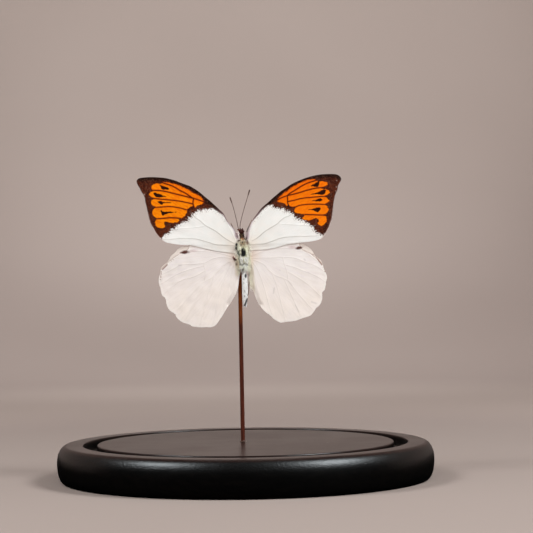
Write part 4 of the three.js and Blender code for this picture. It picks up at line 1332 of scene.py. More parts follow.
paint_fringe("forewing_fringe", "forewing", [
    fringe_of(fore_l[2], FORE_Y, lambda e: (e[:, 0] < -36.6) & (e[:, 1] < 135.5) & (e[:, 1] > 107.4), tone_fore, 41),
    fringe_of(fore_r[2], FORE_Y, lambda e: (e[:, 0] > 35.0) & (e[:, 1] < 135.2) & (e[:, 1] > 107.4), tone_fore, 42),
], 43)
paint_fringe("hindwing_fringe", "hindwing", [
    fringe_of(hind_l[2], HIND_Y, lambda e: (e[:, 1] < 96.0) & (e[:, 0] < -4.5), tone_hind, 44, 0.26),
    fringe_of(hind_r[2], HIND_Y, lambda e: (e[:, 1] < 97.0) & (e[:, 0] > 5.2), tone_hind, 45, 0.24),
], 46)

# ---------------------------------------------------------------------------------------------
# Body
# ---------------------------------------------------------------------------------------------
BODY_AT = np.array([-0.05, -3.2, 102.1])
LEAN, DEPTH = math.radians(-3.0), 0.92


def to_body(P):
    P = np.asarray(P, float)
    c, s = math.cos(LEAN), math.sin(LEAN)
    return np.stack([P[:, 0] * c + P[:, 2] * s, P[:, 1] * DEPTH, -P[:, 0] * s + P[:, 2] * c], 1) + BODY_AT


THORAX = np.array([
    [0.0, -7.9], [0.80, -7.8], [1.30, -6.9], [1.95, -5.1], [2.50, -2.6], [2.75, 0.0], [2.72, 2.2], [2.6, 4.0],
    [2.3, 5.3], [1.85, 6.2], [1.1, 6.9], [0.85, 7.6], [0.78, 8.4], [0.0, 8.4]])

# marks of the upper side of the body: place, half sizes, turn, colour, how soft its edge is, strength
SPOTS = [
    ((-0.1, 106.5), (2.0, 1.8), 0.0, (128, 102, 69), 0.8, 0.9),  # khaki crest
    ((0.3, 104.9), (1.4, 0.7), 0.0, (196, 190, 156), 0.7, 0.5),
    ((-2.2, 104.6), (0.8, 2.0), 0.1, (222, 222, 196), 0.6, 0.7),
    ((2.2, 104.0), (0.8, 2.4), 0.0, (218, 216, 188), 0.6, 0.7),
    ((-2.35, 98.0), (0.75, 3.0), 0.0, (240, 226, 200), 0.5, 0.95),  # tan flanks
    ((2.75, 98.8), (0.80, 3.4), 0.0, (244, 236, 214), 0.5, 0.95),
    ((-0.1, 108.6), (1.6, 0.9), 0.0, (132, 98, 66), 0.5, 0.95),
    ((1.9, 107.0), (0.55, 1.3), 0.1, (142, 92, 66), 0.6, 0.75),
    ((0.16, 102.35), (1.34, 2.25), 0.12, (104, 104, 74), 0.30, 0.85),  # olive edge of the dark patch
    ((0.14, 102.45), (1.00, 1.90), 0.12, (16, 16, 16), 0.22, 1.0),  # dark patch
    ((-0.35, 101.1), (0.75, 0.65), 0.0, (30, 30, 28), 0.3, 0.9),
    ((0.45, 103.6), (0.35, 0.45), 0.0, (150, 150, 120), 0.5, 0.6),
    ((-1.62, 102.15), (0.85, 1.25), 0.0, (86, 94, 76), 0.30, 0.85),  # grey-green ring
    ((-1.30, 102.30), (0.46, 0.72), 0.0, (214, 210, 190), 0.35, 1.0),
    ((-0.80, 99.2), (0.75, 1.15), 0.0, (248, 242, 224), 0.4, 0.9),  # cream tufts
    ((1.10, 99.3), (0.85, 1.15), 0.0, (244, 238, 218), 0.4, 0.8),
    ((0.20, 98.6), (0.28, 1.20), 0.1, (140, 140, 112), 0.5, 0.6),
    ((1.15, 95.95), (1.30, 0.80), 0.0, (246, 250, 228), 0.35, 0.95),
    ((-0.95, 95.9), (0.75, 0.70), 0.0, (238, 236, 216), 0.4, 0.7),
    ((-0.12, 94.7), (0.38, 1.20), -0.52, (46, 54, 40), 0.30, 0.92),  # dark green
    ((1.2, 93.9), (0.8, 1.0), 0.0, (236, 240, 226), 0.4, 0.9),
    ((1.02, 91.8), (0.55, 1.05), 0.0, (22, 22, 26), 0.3, 1.0),  # dark patch at the waist
    ((-0.25, 92.6), (0.45, 0.55), 0.0, (120, 124, 118), 0.4, 0.45),
    ((-0.24, 106.9), (0.34, 0.42), 0.0, (34, 30, 20), 0.35, 0.95),
    ((-0.88, 105.7), (0.30, 0.40), 0.0, (46, 40, 28), 0.35, 0.9),
    ((2.00, 106.7), (0.50, 0.60), 0.0, (140, 104, 78), 0.45, 0.6),
    ((-1.95, 107.7), (0.75, 0.42), 0.3, (98, 62, 42), 0.35, 0.9),  # collar
    ((-0.35, 109.6), (0.72, 1.75), 0.06, (108, 60, 36), 0.35, 0.95),  # neck
    ((-0.55, 108.2), (0.35, 0.50), 0.0, (196, 168, 120), 0.4, 0.6),
    ((1.10, 108.8), (0.62, 0.95), 0.35, (46, 20, 14), 0.30, 0.95),  # shoulder
    ((1.95, 107.6), (0.40, 0.55), 0.4, (66, 38, 28), 0.4, 0.85),
    # the two dark spots at the left wing root are painted shadow between the thorax and the wing root
    ((-2.95, 105.85), (0.45, 0.66), 0.0, (50, 40, 32), 0.35, 0.95),  # wing roots
    ((-3.15, 104.1), (0.42, 0.80), 0.0, (36, 32, 28), 0.35, 0.95),
    ((-4.1, 99.5), (1.15, 0.72), -0.75, (96, 42, 30), 0.45, 0.95),
    ((-3.05, 96.9), (0.38, 0.75), -0.3, (112, 88, 66), 0.4, 0.65),
]
LINES = [
    ([(-2.35, 103.3), (-2.45, 102.0), (-1.7, 101.0)], 0.24, (60, 68, 54), 0.85),
    ([(-1.75, 101.0), (-1.98, 99.6), (-1.65, 98.0), (-1.25, 97.2)], 0.24, (84, 92, 74), 0.85),
    ([(-1.5, 97.0), (-0.3, 96.75), (0.6, 97.4), (1.9, 96.8)], 0.28, (46, 50, 36), 0.95),
    ([(-1.2, 107.6), (-1.0, 106.6)], 0.16, (96, 84, 56), 0.7),
    ([(0.75, 107.3), (0.9, 106.2), (0.7, 105.4)], 0.16, (110, 100, 70), 0.6),
]
LIFT = 1.50  # down shades itself; its own colour is lighter than it looks


def marked(P, out, amount_by):
    """Lays the marks of the upper side over colours given for points P."""
    x, z = P[:, 0], P[:, 2]
    for (cx, cz), (rx, rz), turn, rgb, edge, amount in SPOTS:
        near = np.where((np.abs(x - cx) < rx + rz + 1) & (np.abs(z - cz) < rx + rz + 1))[0]
        if not len(near):
            continue
        ca, sa = math.cos(turn), math.sin(turn)
        u = ((x[near] - cx) * ca + (z[near] - cz) * sa) / rx
        v = (-(x[near] - cx) * sa + (z[near] - cz) * ca) / rz
        w = (1 - sstep(np.hypot(u, v), 1 - edge, 1 + edge * 0.6)) * amount * amount_by[near]
        out[near] += (C3(*rgb) - out[near]) * w[:, None]
    for line, wd, rgb, amount in LINES:
        w = (1 - sstep(dist_to(P[:, [0, 2]], line), wd * 0.4, wd * 1.3)) * amount * amount_by
        out += (C3(*rgb) - out) * w[:, None]
    return out


def body_tint(P, back):
    """Colour of the body's down by place. back is 0 on the upper side (towards -Y) and 1 underneath."""
    x, z = P[:, 0], P[:, 2]
    n = len(P)
    base = np.tile(C3(232, 228, 208), (n, 1))
    green = sstep(wave2(x, z, 61, 2.6), 0.0, 0.9)[:, None]
    base = base * (1 - 0.45 * green) + C3(194, 198, 168) * 0.45 * green
    grey = sstep(wave2(x, z, 62, 1.5), 0.35, 1.0)[:, None]
    base = base * (1 - 0.35 * grey) + C3(150, 150, 124) * 0.35 * grey
    low = sstep(94.5 - z, 0, 3)[:, None]
    base = base * (1 - low) + C3(224, 228, 228) * low
    out = marked(P, base, 1 - back)
    return out * (1 - 0.85 * back[:, None]) + C3(232, 226, 212) * 0.85 * back[:, None]


def skin_material(name, rough):
    g = Graph(name, Roughness=rough, IOR=1.45, Specular_IOR_Level=0.25)
    c = g.coords()
    t = g.attr("tint", "Color")
    n = g.noise(c, 1700, 4.0, 0.65)
    t = g.mix(g.step(n, 0.40, 0.68, 0.0, 0.5), t, g.mix(1.0, t, (0.55, 0.50, 0.44, 1), "MULTIPLY"))
    g.set("Base Color", t)
    g.set("Roughness", g.step(n, 0.3, 0.7, rough - 0.12, rough + 0.1))
    g.bump(g.noise(c, 3000, 3.0, 0.6), 0.5, 0.00008)
    return g.mat


MAT_SKIN = skin_material("thorax_skin", 0.78)
rng = np.random.default_rng(101)


def thorax_radius(zl):
    return np.interp(zl, THORAX[:, 1], THORAX[:, 0])


# thorax skin: the dome of the middle segment, the collar and the hind segment in one grown piece
zl = np.linspace(-7.88, 8.38, 74)
prof = np.array([thorax_radius(t) for t in zl])
prof = prof - 0.10 * np.exp(-((zl - 5.2) / 0.35) ** 2) - 0.12 * np.exp(-((zl + 4.6) / 0.4) ** 2) - 0.06
prof = np.maximum(prof, 0.3)
tv, tf = lathe(np.vstack([[0, -7.9], np.stack([prof, zl], 1), [0, 8.4]]), 56)
bulge = 1 + 0.03 * np.sin(3 * np.arctan2(tv[:, 1], tv[:, 0]) + 0.7) + 0.02 * wave2(tv[:, 0] * 2, tv[:, 2], 71, 4.0)
tv[:, :2] *= bulge[:, None]
front = sstep(-tv[:, 1], -0.2, 1.0)
tw = to_body(tv)
# scaly flaps over the forewing roots, grown on the thorax
flaps = [ball((-2.72, -4.02, 109.95), (0.60, 0.24, 1.62), 16, 22, (-0.22, 0.0, 1.0)),
         ball((1.80, -4.02, 110.1), (0.52, 0.24, 1.62), 16, 22, (0.16, 0.0, 1.0))]
n_body = len(tw)
tw, tf = join([(tw, tf)] + flaps)
tone = body_tint(tw, np.concatenate([1 - front, np.zeros(len(tw) - n_body)]))
LILAC = C3(186, 166, 166)
streak_ = sstep(wave2(tw[:, 0] * 3.0, tw[:, 2], 63, 1.6), 0.1, 0.8)[:, None]
tone[n_body:] = (LILAC * (1 - 0.55 * streak_) + C3(112, 84, 78) * 0.55 * streak_)[n_body:]
thorax = new_mesh("thorax_skin", tw, tf, MAT_SKIN)
put_colour(thorax, "tint", np.clip(tone * 1.05, 0, 1))
place(thorax, "body_fur", "thorax")

# down of the thorax, coloured along each hair by where it lies
N = 15000
u = rng.uniform(-7.6, 8.0, N * 2)
keep = rng.uniform(0, 2.9, N * 2) < thorax_radius(u) + 0.25
u = u[keep][:N]
ph = rng.uniform(0, 2 * math.pi, len(u))
rr = thorax_radius(u) - 0.12
loc = np.stack([rr * np.cos(ph), rr * np.sin(ph), u], 1)
nrm = np.stack([np.cos(ph), np.sin(ph), np.zeros(len(u))], 1)
root = to_body(loc)
nw = unit(to_body(loc + nrm * 0.1) - root)
clump = np.stack([wave2(root[:, 0] * 3, root[:, 2], 81, 1.4), wave2(root[:, 0], root[:, 2] * 2, 82, 1.4), wave2(root[:, 2], root[:, 0] * 3, 83, 1.4)], 1)
way = nw * rng.uniform(0.22, 0.50, (len(u), 1)) + np.array([0, 0, -0.9]) + clump * 0.30 + rng.normal(0, 0.14, (len(u), 3))
frontw = sstep(-nw[:, 1], -0.15, 0.35)
ln = rng.uniform(0.65, 1.25, len(u)) * np.where(u > 4.5, 0.72, 1.0) * (1.0 + 0.25 * sstep(-u, 1, 5))
dark_here = np.hypot((root[:, 0] - 0.12) / 1.0, (root[:, 2] - 102.6) / 2.0) < 1
ln = np.where(dark_here & (frontw > 0.4), ln * 0.5, ln)
v, f, hair, pl = hairs(root, way, ln, 0.085, np.array([0, 0, -0.30]) - nw * 0.22, rng, nw + np.array([0, -0.4, 0.15]))
each = rng.uniform(0.84, 1.10, len(u))
tint = body_tint(v, (1 - frontw)[hair]) * LIFT * each[hair][:, None] * (0.80 + 0.24 * pl)[:, None]
# painted light: the down is painted lighter below the waist, where it lies in shade under the curve of the thorax
tint *= (1 + 0.30 * sstep(98.5 - v[:, 2], 0, 3))[:, None]
down = new_mesh("thorax_down", v, f, MAT_HAIR, None, False)
put_colour(down, "tint", np.clip(tint, 0, 0.97))
place(down, "body_fur")


# long hair over the wing roots, and the hair band along the inner edge of each hindwing
def root_hair(n, at, way0, spread, ln_lo, ln_hi, tone, jitter, seed, width=0.06):
    r = np.random.default_rng(seed)
    a, b = np.asarray(at[0], float), np.asarray(at[1], float)
    t = r.uniform(0, 1, (n, 1))
    root = a + (b - a) * t + r.normal(0, 1, (n, 3)) * np.asarray(jitter, float)
    way = np.asarray(way0, float) + r.normal(0, 1, (n, 3)) * np.asarray(spread, float)
    ln = r.uniform(ln_lo, ln_hi, n)
    tint = np.asarray(tone) * r.uniform(0.84, 1.08, (n, 1))
    return root, unit(way), ln, tint, np.full(n, width)


sets = []
for s, sd in ((-1.0, 1), (1.0, 2)):
    x0 = BODY_X
    # from the shoulder out over the forewing and hindwing roots
    sets.append(root_hair(760, ((x0 + s * 2.0, -4.60, 107.2), (x0 + s * 2.3, -4.60, 101.5)), (s * 1.0, 0.06, -0.24), (0.3, 0.04, 0.35), 0.7, 2.2, C3(244, 236, 222), (0.22, 0.08, 0.3), 200 + sd, 0.05))
    sets.append(root_hair(760, ((x0 + s * 2.2, -4.5, 101.5), (x0 + s * 1.9, -4.3, 95.8)), (s * 0.7, 0.05, -0.8), (0.25, 0.04, 0.3), 0.9, 2.4, C3(246, 236, 218), (0.24, 0.10, 0.3), 210 + sd, 0.05))
# tan band beside the waist
sets.append(root_hair(420, ((-2.6, -3.9, 99.5), (-1.9, -3.8, 93.4)), (-0.06, 0.0, -1.0), (0.10, 0.03, 0.1), 1.0, 2.2, C3(253, 243, 222), (0.34, 0.10, 0.4), 221))
sets.append(root_hair(620, ((2.7, -3.95, 101.0), (3.5, -3.75, 87.5)), (0.05, 0.0, -1.0), (0.10, 0.03, 0.1), 1.2, 2.8, C3(247, 237, 217), (0.36, 0.08, 0.4), 222))
sets.append(root_hair(360, ((2.4, -4.4, 100.5), (2.5, -4.2, 94.5)), (0.08, 0.02, -1.0), (0.14, 0.04, 0.1), 1.0, 2.2, C3(244, 240, 220), (0.30, 0.10, 0.4), 223))
# tufts over the waist
sets.append(root_hair(420, ((-1.3, -5.0, 96.6), (1.7, -5.0, 95.8)), (0.0, -0.10, -1.0), (0.18, 0.06, 0.1), 0.9, 2.2, C3(244, 244, 228), (0.3, 0.2, 0.4), 224))
# hair of the flaps, and the pale strip beside the neck
sets.append(root_hair(420, ((-2.95, -4.25, 111.2), (-2.55, -4.25, 108.9)), (-0.10, -0.05, -1.0), (0.12, 0.05, 0.1), 0.5, 1.1, LILAC, (0.26, 0.05, 0.2), 226, 0.055))
sets.append(root_hair(380, ((2.0, -4.25, 111.4), (1.75, -4.25, 109.1)), (0.06, -0.05, -1.0), (0.12, 0.05, 0.1), 0.5, 1.1, LILAC, (0.22, 0.05, 0.2), 227, 0.055))
sets.append(root_hair(190, ((-2.30, -4.55, 111.5), (-1.78, -4.6, 109.6)), (0.22, 0.0, -1.0), (0.06, 0.02, 0.05), 0.7, 1.3, C3(250, 232, 226), (0.09, 0.05, 0.1), 225, 0.07))
root = np.vstack([a[0] for a in sets]); way = np.vstack([a[1] for a in sets])
ln = np.concatenate([a[2] for a in sets]); tint = np.vstack([a[3] for a in sets]); wd = np.concatenate([a[4] for a in sets])
v, f, hair, pl = hairs(root, way, ln, wd, np.array([0.0, 0.06, -0.12]), rng, np.tile([0.0, -1.0, 0.25], (len(root), 1)))
tint = marked(v, (tint[hair] * (0.92 + 0.14 * pl)[:, None]), np.full(len(v), 0.9)) * 1.15
o = new_mesh("wing_root_hair", v, f, MAT_HAIR, None, False)
put_colour(o, "tint", np.clip(tint, 0, 0.97))
place(o, "body_fur")

# small dark tufts where the wings are hinged; the two darkest, at the left wing root, are painted shadow between the
# thorax and the wing root
sets = []
for k, ((cx, cz), (rx, rz), rgb, n_t) in enumerate((
        ((-2.95, 106.1), (0.22, 0.30), (44, 34, 28), 90), ((-3.15, 104.5), (0.20, 0.40), (30, 27, 24), 100),
        ((-4.65, 100.45), (0.20, 0.16), (150, 78, 62), 50), ((-4.25, 99.85), (0.26, 0.20), (110, 48, 36), 80), ((-3.75, 99.25), (0.30, 0.26), (66, 28, 20), 110), ((-3.1, 97.4), (0.18, 0.40), (104, 78, 56), 60),
        ((-2.0, 107.9), (0.40, 0.16), (92, 56, 38), 60), ((1.78, 107.9), (0.34, 0.36), (92, 50, 36), 70))):
    sets.append(root_hair(n_t, ((cx, -4.95, cz), (cx, -4.95, cz)), (0.0, -0.05, -1.0), (0.25, 0.08, 0.2), 0.25, 0.48, C3(*rgb), (rx, 0.10, rz), 240 + k, 0.075))
root = np.vstack([a[0] for a in sets]); way = np.vstack([a[1] for a in sets])
ln = np.concatenate([a[2] for a in sets]); tint = np.vstack([a[3] for a in sets]); wd = np.concatenate([a[4] for a in sets])
v, f, hair, pl = hairs(root, way, ln, wd, np.zeros(3), rng)
o = new_mesh("hinge_tufts_and_painted_shadow", v, f, MAT_HAIR, None, True)
put_colour(o, "tint", tint[hair])
place(o, "body_fur")

# -- abdomen ------------------------------------------------------------------------------------
ABDOMEN = np.array([[0.0, -23.9], [0.42, -23.7], [0.8, -22.6], [1.08, -20.6], [1.22, -17.8], [1.22, -14.5], [1.18, -11.5], [1.08, -9.4], [0.8, -8.25], [0.0, -8.2]])
seg_z = np.array([-8.2, -10.0, -12.0, -14.1, -16.2, -18.2, -20.1, -21.9, -23.9])
zl = np.linspace(-23.86, -8.24, 150)
rad_a = np.interp(zl, ABDOMEN[:, 1], ABDOMEN[:, 0])
for a, b in zip(seg_z[1:], seg_z[:-1]):  # each ring is widest at its rear edge and slips under the next
    t = (zl - a) / (b - a)
    ok = (t >= 0) & (t < 1)
    rad_a[ok] += 0.055 * (1 - t[ok]) ** 0.7 - 0.10 * np.exp(-((t[ok] - 1.0) / 0.07) ** 2) - 0.03
av, af = lathe(np.vstack([[0, -23.9], np.stack([np.maximum(rad_a, 0.05), zl], 1), [0, -8.2]]), 48)


def bent(P):
    P = P.copy()
    d = np.maximum(0, -8.2 - P[:, 2])
    P[:, 0] += -0.0027 * d * d
    return to_body(P)


def abdomen_tint(P, r):
    x, z = P[:, 0], P[:, 2]
    cx = np.interp(z, [78.4, 82, 87.7, 94], [0.53, 0.95, 0.79, 0.4])
    out = np.tile(C3(236, 234, 231), (len(P), 1))
    patch = sstep(wave2(x, z, 91, 1.6), 0.25, 0.9)[:, None]
    out = out * (1 - 0.45 * patch) + C3(182, 183, 181) * 0.45 * patch
    warm = sstep(wave2(x, z, 92, 2.6), 0.2, 0.9)[:, None]
    out = out * (1 - 0.35 * warm) + C3(228, 218, 208) * 0.35 * warm
    back = sstep(P[:, 1], -3.0, -2.2)
    for (ax, az), (rx, rz), turn, rgb, amount in (
        ((0.55, 84.8), (0.30, 0.65), 0.2, (128, 130, 128), 0.65),
        ((0.42, 82.6), (0.30, 0.50), 0.2, (112, 114, 112), 0.6),
        ((1.90, 83.0), (0.28, 0.42), 0.0, (44, 42, 46), 0.85),
        ((-0.1, 88.6), (0.35, 0.8), 0.1, (150, 154, 152), 0.45),
        ((1.2, 86.3), (0.25, 0.6), 0.1, (160, 162, 160), 0.4),
        ((1.0, 91.8), (0.56, 1.10), 0.0, (26, 26, 30), 0.95),
        ((0.2, 90.2), (0.22, 0.45), 0.0, (96, 98, 98), 0.6),
        ((-0.3, 93.0), (0.34, 0.8), 0.1, (112, 114, 104), 0.6),
    ):
        ca, sa = math.cos(turn), math.sin(turn)
        u = ((x - ax) * ca + (z - az) * sa) / rx
        v = (-(x - ax) * sa + (z - az) * ca) / rz
        w = (1 - sstep(np.hypot(u, v), 0.55, 1.25)) * amount * (1 - back)
        out += (C3(*rgb) - out) * w[:, None]
    # painted shadow: the dark diagonal streak at the tip of the abdomen, where the tip lies in shade
    w = (1 - sstep(dist_to(P[:, [0, 2]], [(1.62, 81.3), (1.15, 80.2), (0.42, 78.5)]), 0.25, 0.62)) * 0.92 * (1 - 0.5 * back)
    out += (C3(34, 34, 36) - out) * w[:, None]
    return out if r is None else out * r.uniform(0.86, 1.06, (len(P), 1))


aw = bent(av)
abdomen = new_mesh("abdomen_rings", aw, af, skin_material("abdomen_skin", 0.7))
put_colour(abdomen, "tint", abdomen_tint(aw, rng))
place(abdomen, "abdomen_scales", "abdomen")
N = 9000
u = rng.uniform(-23.6, -8.3, N)
ph = rng.uniform(0, 2 * math.pi, N)
rr = np.interp(u, ABDOMEN[:, 1], ABDOMEN[:, 0]) - 0.02
loc = np.stack([rr * np.cos(ph), rr * np.sin(ph), u], 1)
root = bent(loc)
out_ = bent(np.stack([(rr + 0.1) * np.cos(ph), (rr + 0.1) * np.sin(ph), u], 1))
nw = unit(out_ - root)
way = nw * rng.uniform(0.05, 0.17, (N, 1)) + np.array([0.03, 0, -1.0]) + rng.normal(0, 0.07, (N, 3))
ln = rng.uniform(0.30, 0.62, N) * (1 + 0.8 * sstep(-u, 21.5, 23.5)) * (1 + 1.2 * sstep(u, -11.5, -8.5))
v, f, hair, pl = hairs(root, way, ln, 0.10, -nw * 0.05, rng, nw + np.array([0, -0.2, 0.2]))
o = new_mesh("abdomen_scales", v, f, MAT_HAIR, None, False)
each = rng.uniform(0.86, 1.08, N)
put_colour(o, "tint", np.clip(abdomen_tint(v, None) * each[hair][:, None] * 1.42 * (0.86 + 0.18 * pl)[:, None], 0, 0.97))
place(o, "abdomen_scales")

# -- head ---------------------------------------------------------------------------------------
def eye_material():
    g = Graph("compound_eye", Roughness=0.28, IOR=1.5)
    c = g.coords()
    cell = g.voronoi(c, 9000)
    n = g.noise(c, 700, 2.0, 0.5)
    col = g.mix(g.step(n, 0.35, 0.65), lin(46, 18, 12), lin(84, 38, 24))
    col = g.mix(g.step(cell, 0.2, 0.6, 0.0, 0.4), col, lin(22, 8, 6))
    g.set("Base Color", col)
    g.set("Roughness", g.step(n, 0.3, 0.7, 0.24, 0.36))
    g.bump(cell, 0.35, 0.00004)
    return g.mat


def chitin(name, light, dark, rough=0.42):
    g = Graph(name, Roughness=rough, IOR=1.5)
    c = g.coords()
    n = g.noise(c, 1100, 4.0, 0.6)
    fine = g.noise(c, 5200, 2.0, 0.6)
    col = g.mix(g.step(n, 0.36, 0.66), lin(*dark), lin(*light))
    col = g.mix(g.step(fine, 0.48, 0.76, 0.0, 0.4), col, lin(*[min(255, int(v * 1.35) + 12) for v in light]))
    g.set("Base Color", col)
    g.set("Roughness", g.step(n, 0.3, 0.7, rough - 0.1, rough + 0.14))
    g.bump(fine, 0.35, 0.00005)
    return g.mat


MAT_EYE = eye_material()
MAT_HEAD = chitin("head_shell", (104, 46, 28), (60, 22, 13), 0.55)
MAT_LEG = chitin("leg_shell", (150, 122, 104), (96, 70, 58), 0.55)
MAT_ANT = chitin("antenna_shell", (112, 92, 82), (76, 58, 50), 0.55)

HEAD_C = np.array([0.0, 0.0, 9.75])
parts, kinds = [], []
def part(vf, kind):
    parts.append(vf)
    kinds.append(np.full(len(vf[1]), kind))
hv, hf = ball(HEAD_C, (1.02, 1.15 / DEPTH * 0.98, 1.03), 26, 36)
part((hv, hf), 0)
for s in (-1, 1):
    part(ball(HEAD_C + np.array([s * 0.62, 0.02, 0.10]), (0.66, 0.78, 0.74), 26, 34), 1)
    # labial palp: three joints, forward from under the face
    path = smooth_curve([(s * 0.30, 0.78, 9.5), (s * 0.42, 0.95, 10.2), (s * 0.46, 0.70, 10.9), (s * 0.42, 0.35, 11.35)], 0.08)
    t = np.linspace(0, 1, len(path))
    rp = 0.27 - 0.07 * t - 0.05 * np.exp(-((t - 0.36) / 0.03) ** 2) - 0.05 * np.exp(-((t - 0.74) / 0.03) ** 2)
    rp[-4:] *= np.array([0.85, 0.65, 0.42, 0.15])
    part(tube(path, rp, 14), 0)
# coiled tongue, underneath
th = np.linspace(0, 2 * math.pi * 2.6, 90)
r_c = 0.62 - 0.5 * th / th[-1]
coil = np.stack([0.03 * np.sin(th * 0.5), 1.45 + r_c * np.cos(th) * 0.9, 9.55 + r_c * np.sin(th)], 1)
part(tube(coil, np.linspace(0.085, 0.045, 90), 8), 0)
# dark knob that both antennae grow from, at the upper left of the head
part(ball((-1.18, -0.66, 10.50), (0.36, 0.40, 0.86), 16, 20, (0.93, 0.1, -0.34)), 0)
# occiput: rings for short neck membrane folds are worked out here but not added to the head
for k, (zz, rr_) in enumerate(((8.55, 0.86), (8.25, 0.84), (7.95, 0.86))):
    ring = np.array([(rr_ * math.cos(a) * 0.97, rr_ * math.sin(a), zz) for a in np.linspace(0, 2 * math.pi, 41)])
hv, hf = join(parts)
kinds = np.concatenate(kinds)
hw = to_body(hv)
head = new_mesh("head_shell", hw, hf, [MAT_HEAD, MAT_EYE], kinds, True, 60)
place(head, "head_chitin", "head")

N = 2600
ph = rng.uniform(0, 2 * math.pi, N)
cz = rng.uniform(-1.0, 0.92, N)
sr = np.sqrt(1 - cz ** 2)
dirs = np.stack([sr * np.cos(ph), sr * np.sin(ph), cz], 1)
loc = HEAD_C + dirs * np.array([0.98, 1.18, 0.98])
eyeish = (np.abs(dirs[:, 0]) > 0.70) & (np.abs(dirs[:, 2]) < 0.60)
loc, dirs = loc[~eyeish], dirs[~eyeish]
root = to_body(loc)
nw = unit(to_body(loc + dirs * 0.1) - root)
way = nw * 0.8 + np.array([0, 0, -0.25]) + rng.normal(0, 0.28, root.shape)
ln = rng.uniform(0.26, 0.52, len(root))
v, f, hair, pl = hairs(root, way, ln, 0.055, np.array([0.0, 0.0, -0.3]), rng)
dark_t = C3(92, 38, 24) * rng.uniform(0.5, 1.4, (len(root), 1))
brown_t = C3(120, 88, 58) * rng.uniform(0.8, 1.15, (len(root), 1))
low = (root[:, 2] < 111.0) & (rng.uniform(0, 1, len(root)) < 0.6)
white_t = C3(226, 214, 200) * rng.uniform(0.8, 1.05, (len(root), 1))
tint = np.where(low[:, None], brown_t, dark_t)
tint = np.where((nw[:, 1] > 0.35)[:, None], white_t, tint)
# neck ruff
M = 1500
un = rng.uniform(6.3, 9.0, M)
pn = rng.uniform(0, 2 * math.pi, M)
rn = np.interp(un, [6.3, 7.0, 7.8, 9.0], [1.5, 1.0, 0.8, 0.85])
locn = np.stack([rn * np.cos(pn), rn * np.sin(pn), un], 1)
rootn = to_body(locn)
nn = unit(to_body(locn + np.stack([np.cos(pn), np.sin(pn), 0 * pn], 1) * 0.1) - rootn)
wayn = nn * 0.35 + np.array([0, 0, -0.9]) + rng.normal(0, 0.15, (M, 3))
lnn = rng.uniform(0.5, 1.0, M)
tn = C3(122, 92, 60) * rng.uniform(0.65, 1.25, (M, 1))
tn = np.where((nn[:, 0] > 0.45)[:, None], C3(70, 38, 26) * rng.uniform(0.7, 1.3, (M, 1)), tn)
tn = np.where((nn[:, 1] > 0.3)[:, None], C3(214, 200, 172) * rng.uniform(0.8, 1.1, (M, 1)), tn)
v2, f2, hair2, pl2 = hairs(rootn, wayn, lnn, 0.06, nn * -0.1, rng)
va, fa = join([(v, f), (v2, f2)])
o = new_mesh("head_down", va, fa, MAT_HAIR, None, True)
put_colour(o, "tint", np.vstack([tint[hair] * (0.75 + 0.35 * pl)[:, None], tn[hair2] * (0.75 + 0.35 * pl2)[:, None]]))
place(o, "head_chitin")

# -- antennae -------------------------------------------------------------------------------------
def make_antenna(side, pts):
    path = smooth_curve(pts, 0.09)
    s = np.concatenate([[0], np.cumsum(np.linalg.norm(np.diff(path, axis=0), axis=1))])
    total = s[-1]
    rad_ = 0.128 + 0.024 * np.abs(np.sin(math.pi * s / 0.42)) ** 0.6  # short joints
    club = sstep(s, total - 3.6, total - 1.6)
    rad_ = rad_ * (1 - 0.05 * sstep(s, 2, 10)) + 0.17 * club
    rad_ *= np.where(s < 0.5, 1.35, 1.0)
    endcap = np.clip((total - s) / 0.42, 0, 1)
    rad_ *= np.sqrt(np.clip(1 - (1 - endcap) ** 2, 0.02, 1))
    v, f = tube(path, rad_, 12)
    o = new_mesh("antenna_" + side + "_shaft", v, f, MAT_ANT, None, True)
    place(o, "antenna_chitin", "antenna_" + side)
    return path


ANT_L = [(-1.75, -3.7, 112.75), (-2.05, -3.7, 113.4), (-2.4, -3.8, 115.2), (-3.0, -3.9, 117.95), (-4.2, -4.0, 122.9), (-5.6, -4.0, 127.4)]
ANT_R = [(-1.45, -3.8, 112.6), (-1.3, -4.0, 113.3), (-0.95, -4.1, 116.1), (0.66, -4.2, 122.0), (2.08, -4.2, 126.5), (3.35, -4.2, 130.7)]
make_antenna("left", ANT_L)
make_antenna("right", ANT_R)

# -- legs -------------------------------------------------------------------------------------------
LEGS = {
    "foreleg_left": [(-1.6, -1.6, 105.6), (-2.8, -0.9, 109.0), (-3.9, -1.2, 112.4), (-5.3, -1.5, 115.6)],
    "foreleg_right": [(1.0, -1.6, 105.6), (1.8, -0.9, 109.0), (1.8, -1.2, 111.6), (2.85, -1.5, 114.3), (4.2, -1.8, 117.0)],
    "midleg_left": [(-2.2, -1.4, 101.4), (-3.9, 0.2, 99.0), (-4.2, 0.7, 94.5), (-3.8, 0.2, 90.0)],
    "midleg_right": [(1.9, -1.4, 101.4), (3.4, 0.2, 99.0), (3.6, 0.7, 94.5), (3.2, 0.2, 89.5)],
    "hindleg_left": [(-1.9, -1.6, 97.8), (-3.0, -1.3, 94.6), (-3.3, -1.4, 89.5), (-3.2, -1.6, 84.4)],
    "hindleg_right": [(1.6, -1.6, 97.8), (2.6, -1.3, 94.6), (2.5, -1.4, 88.5), (2.1, -1.5, 83.2)],
}
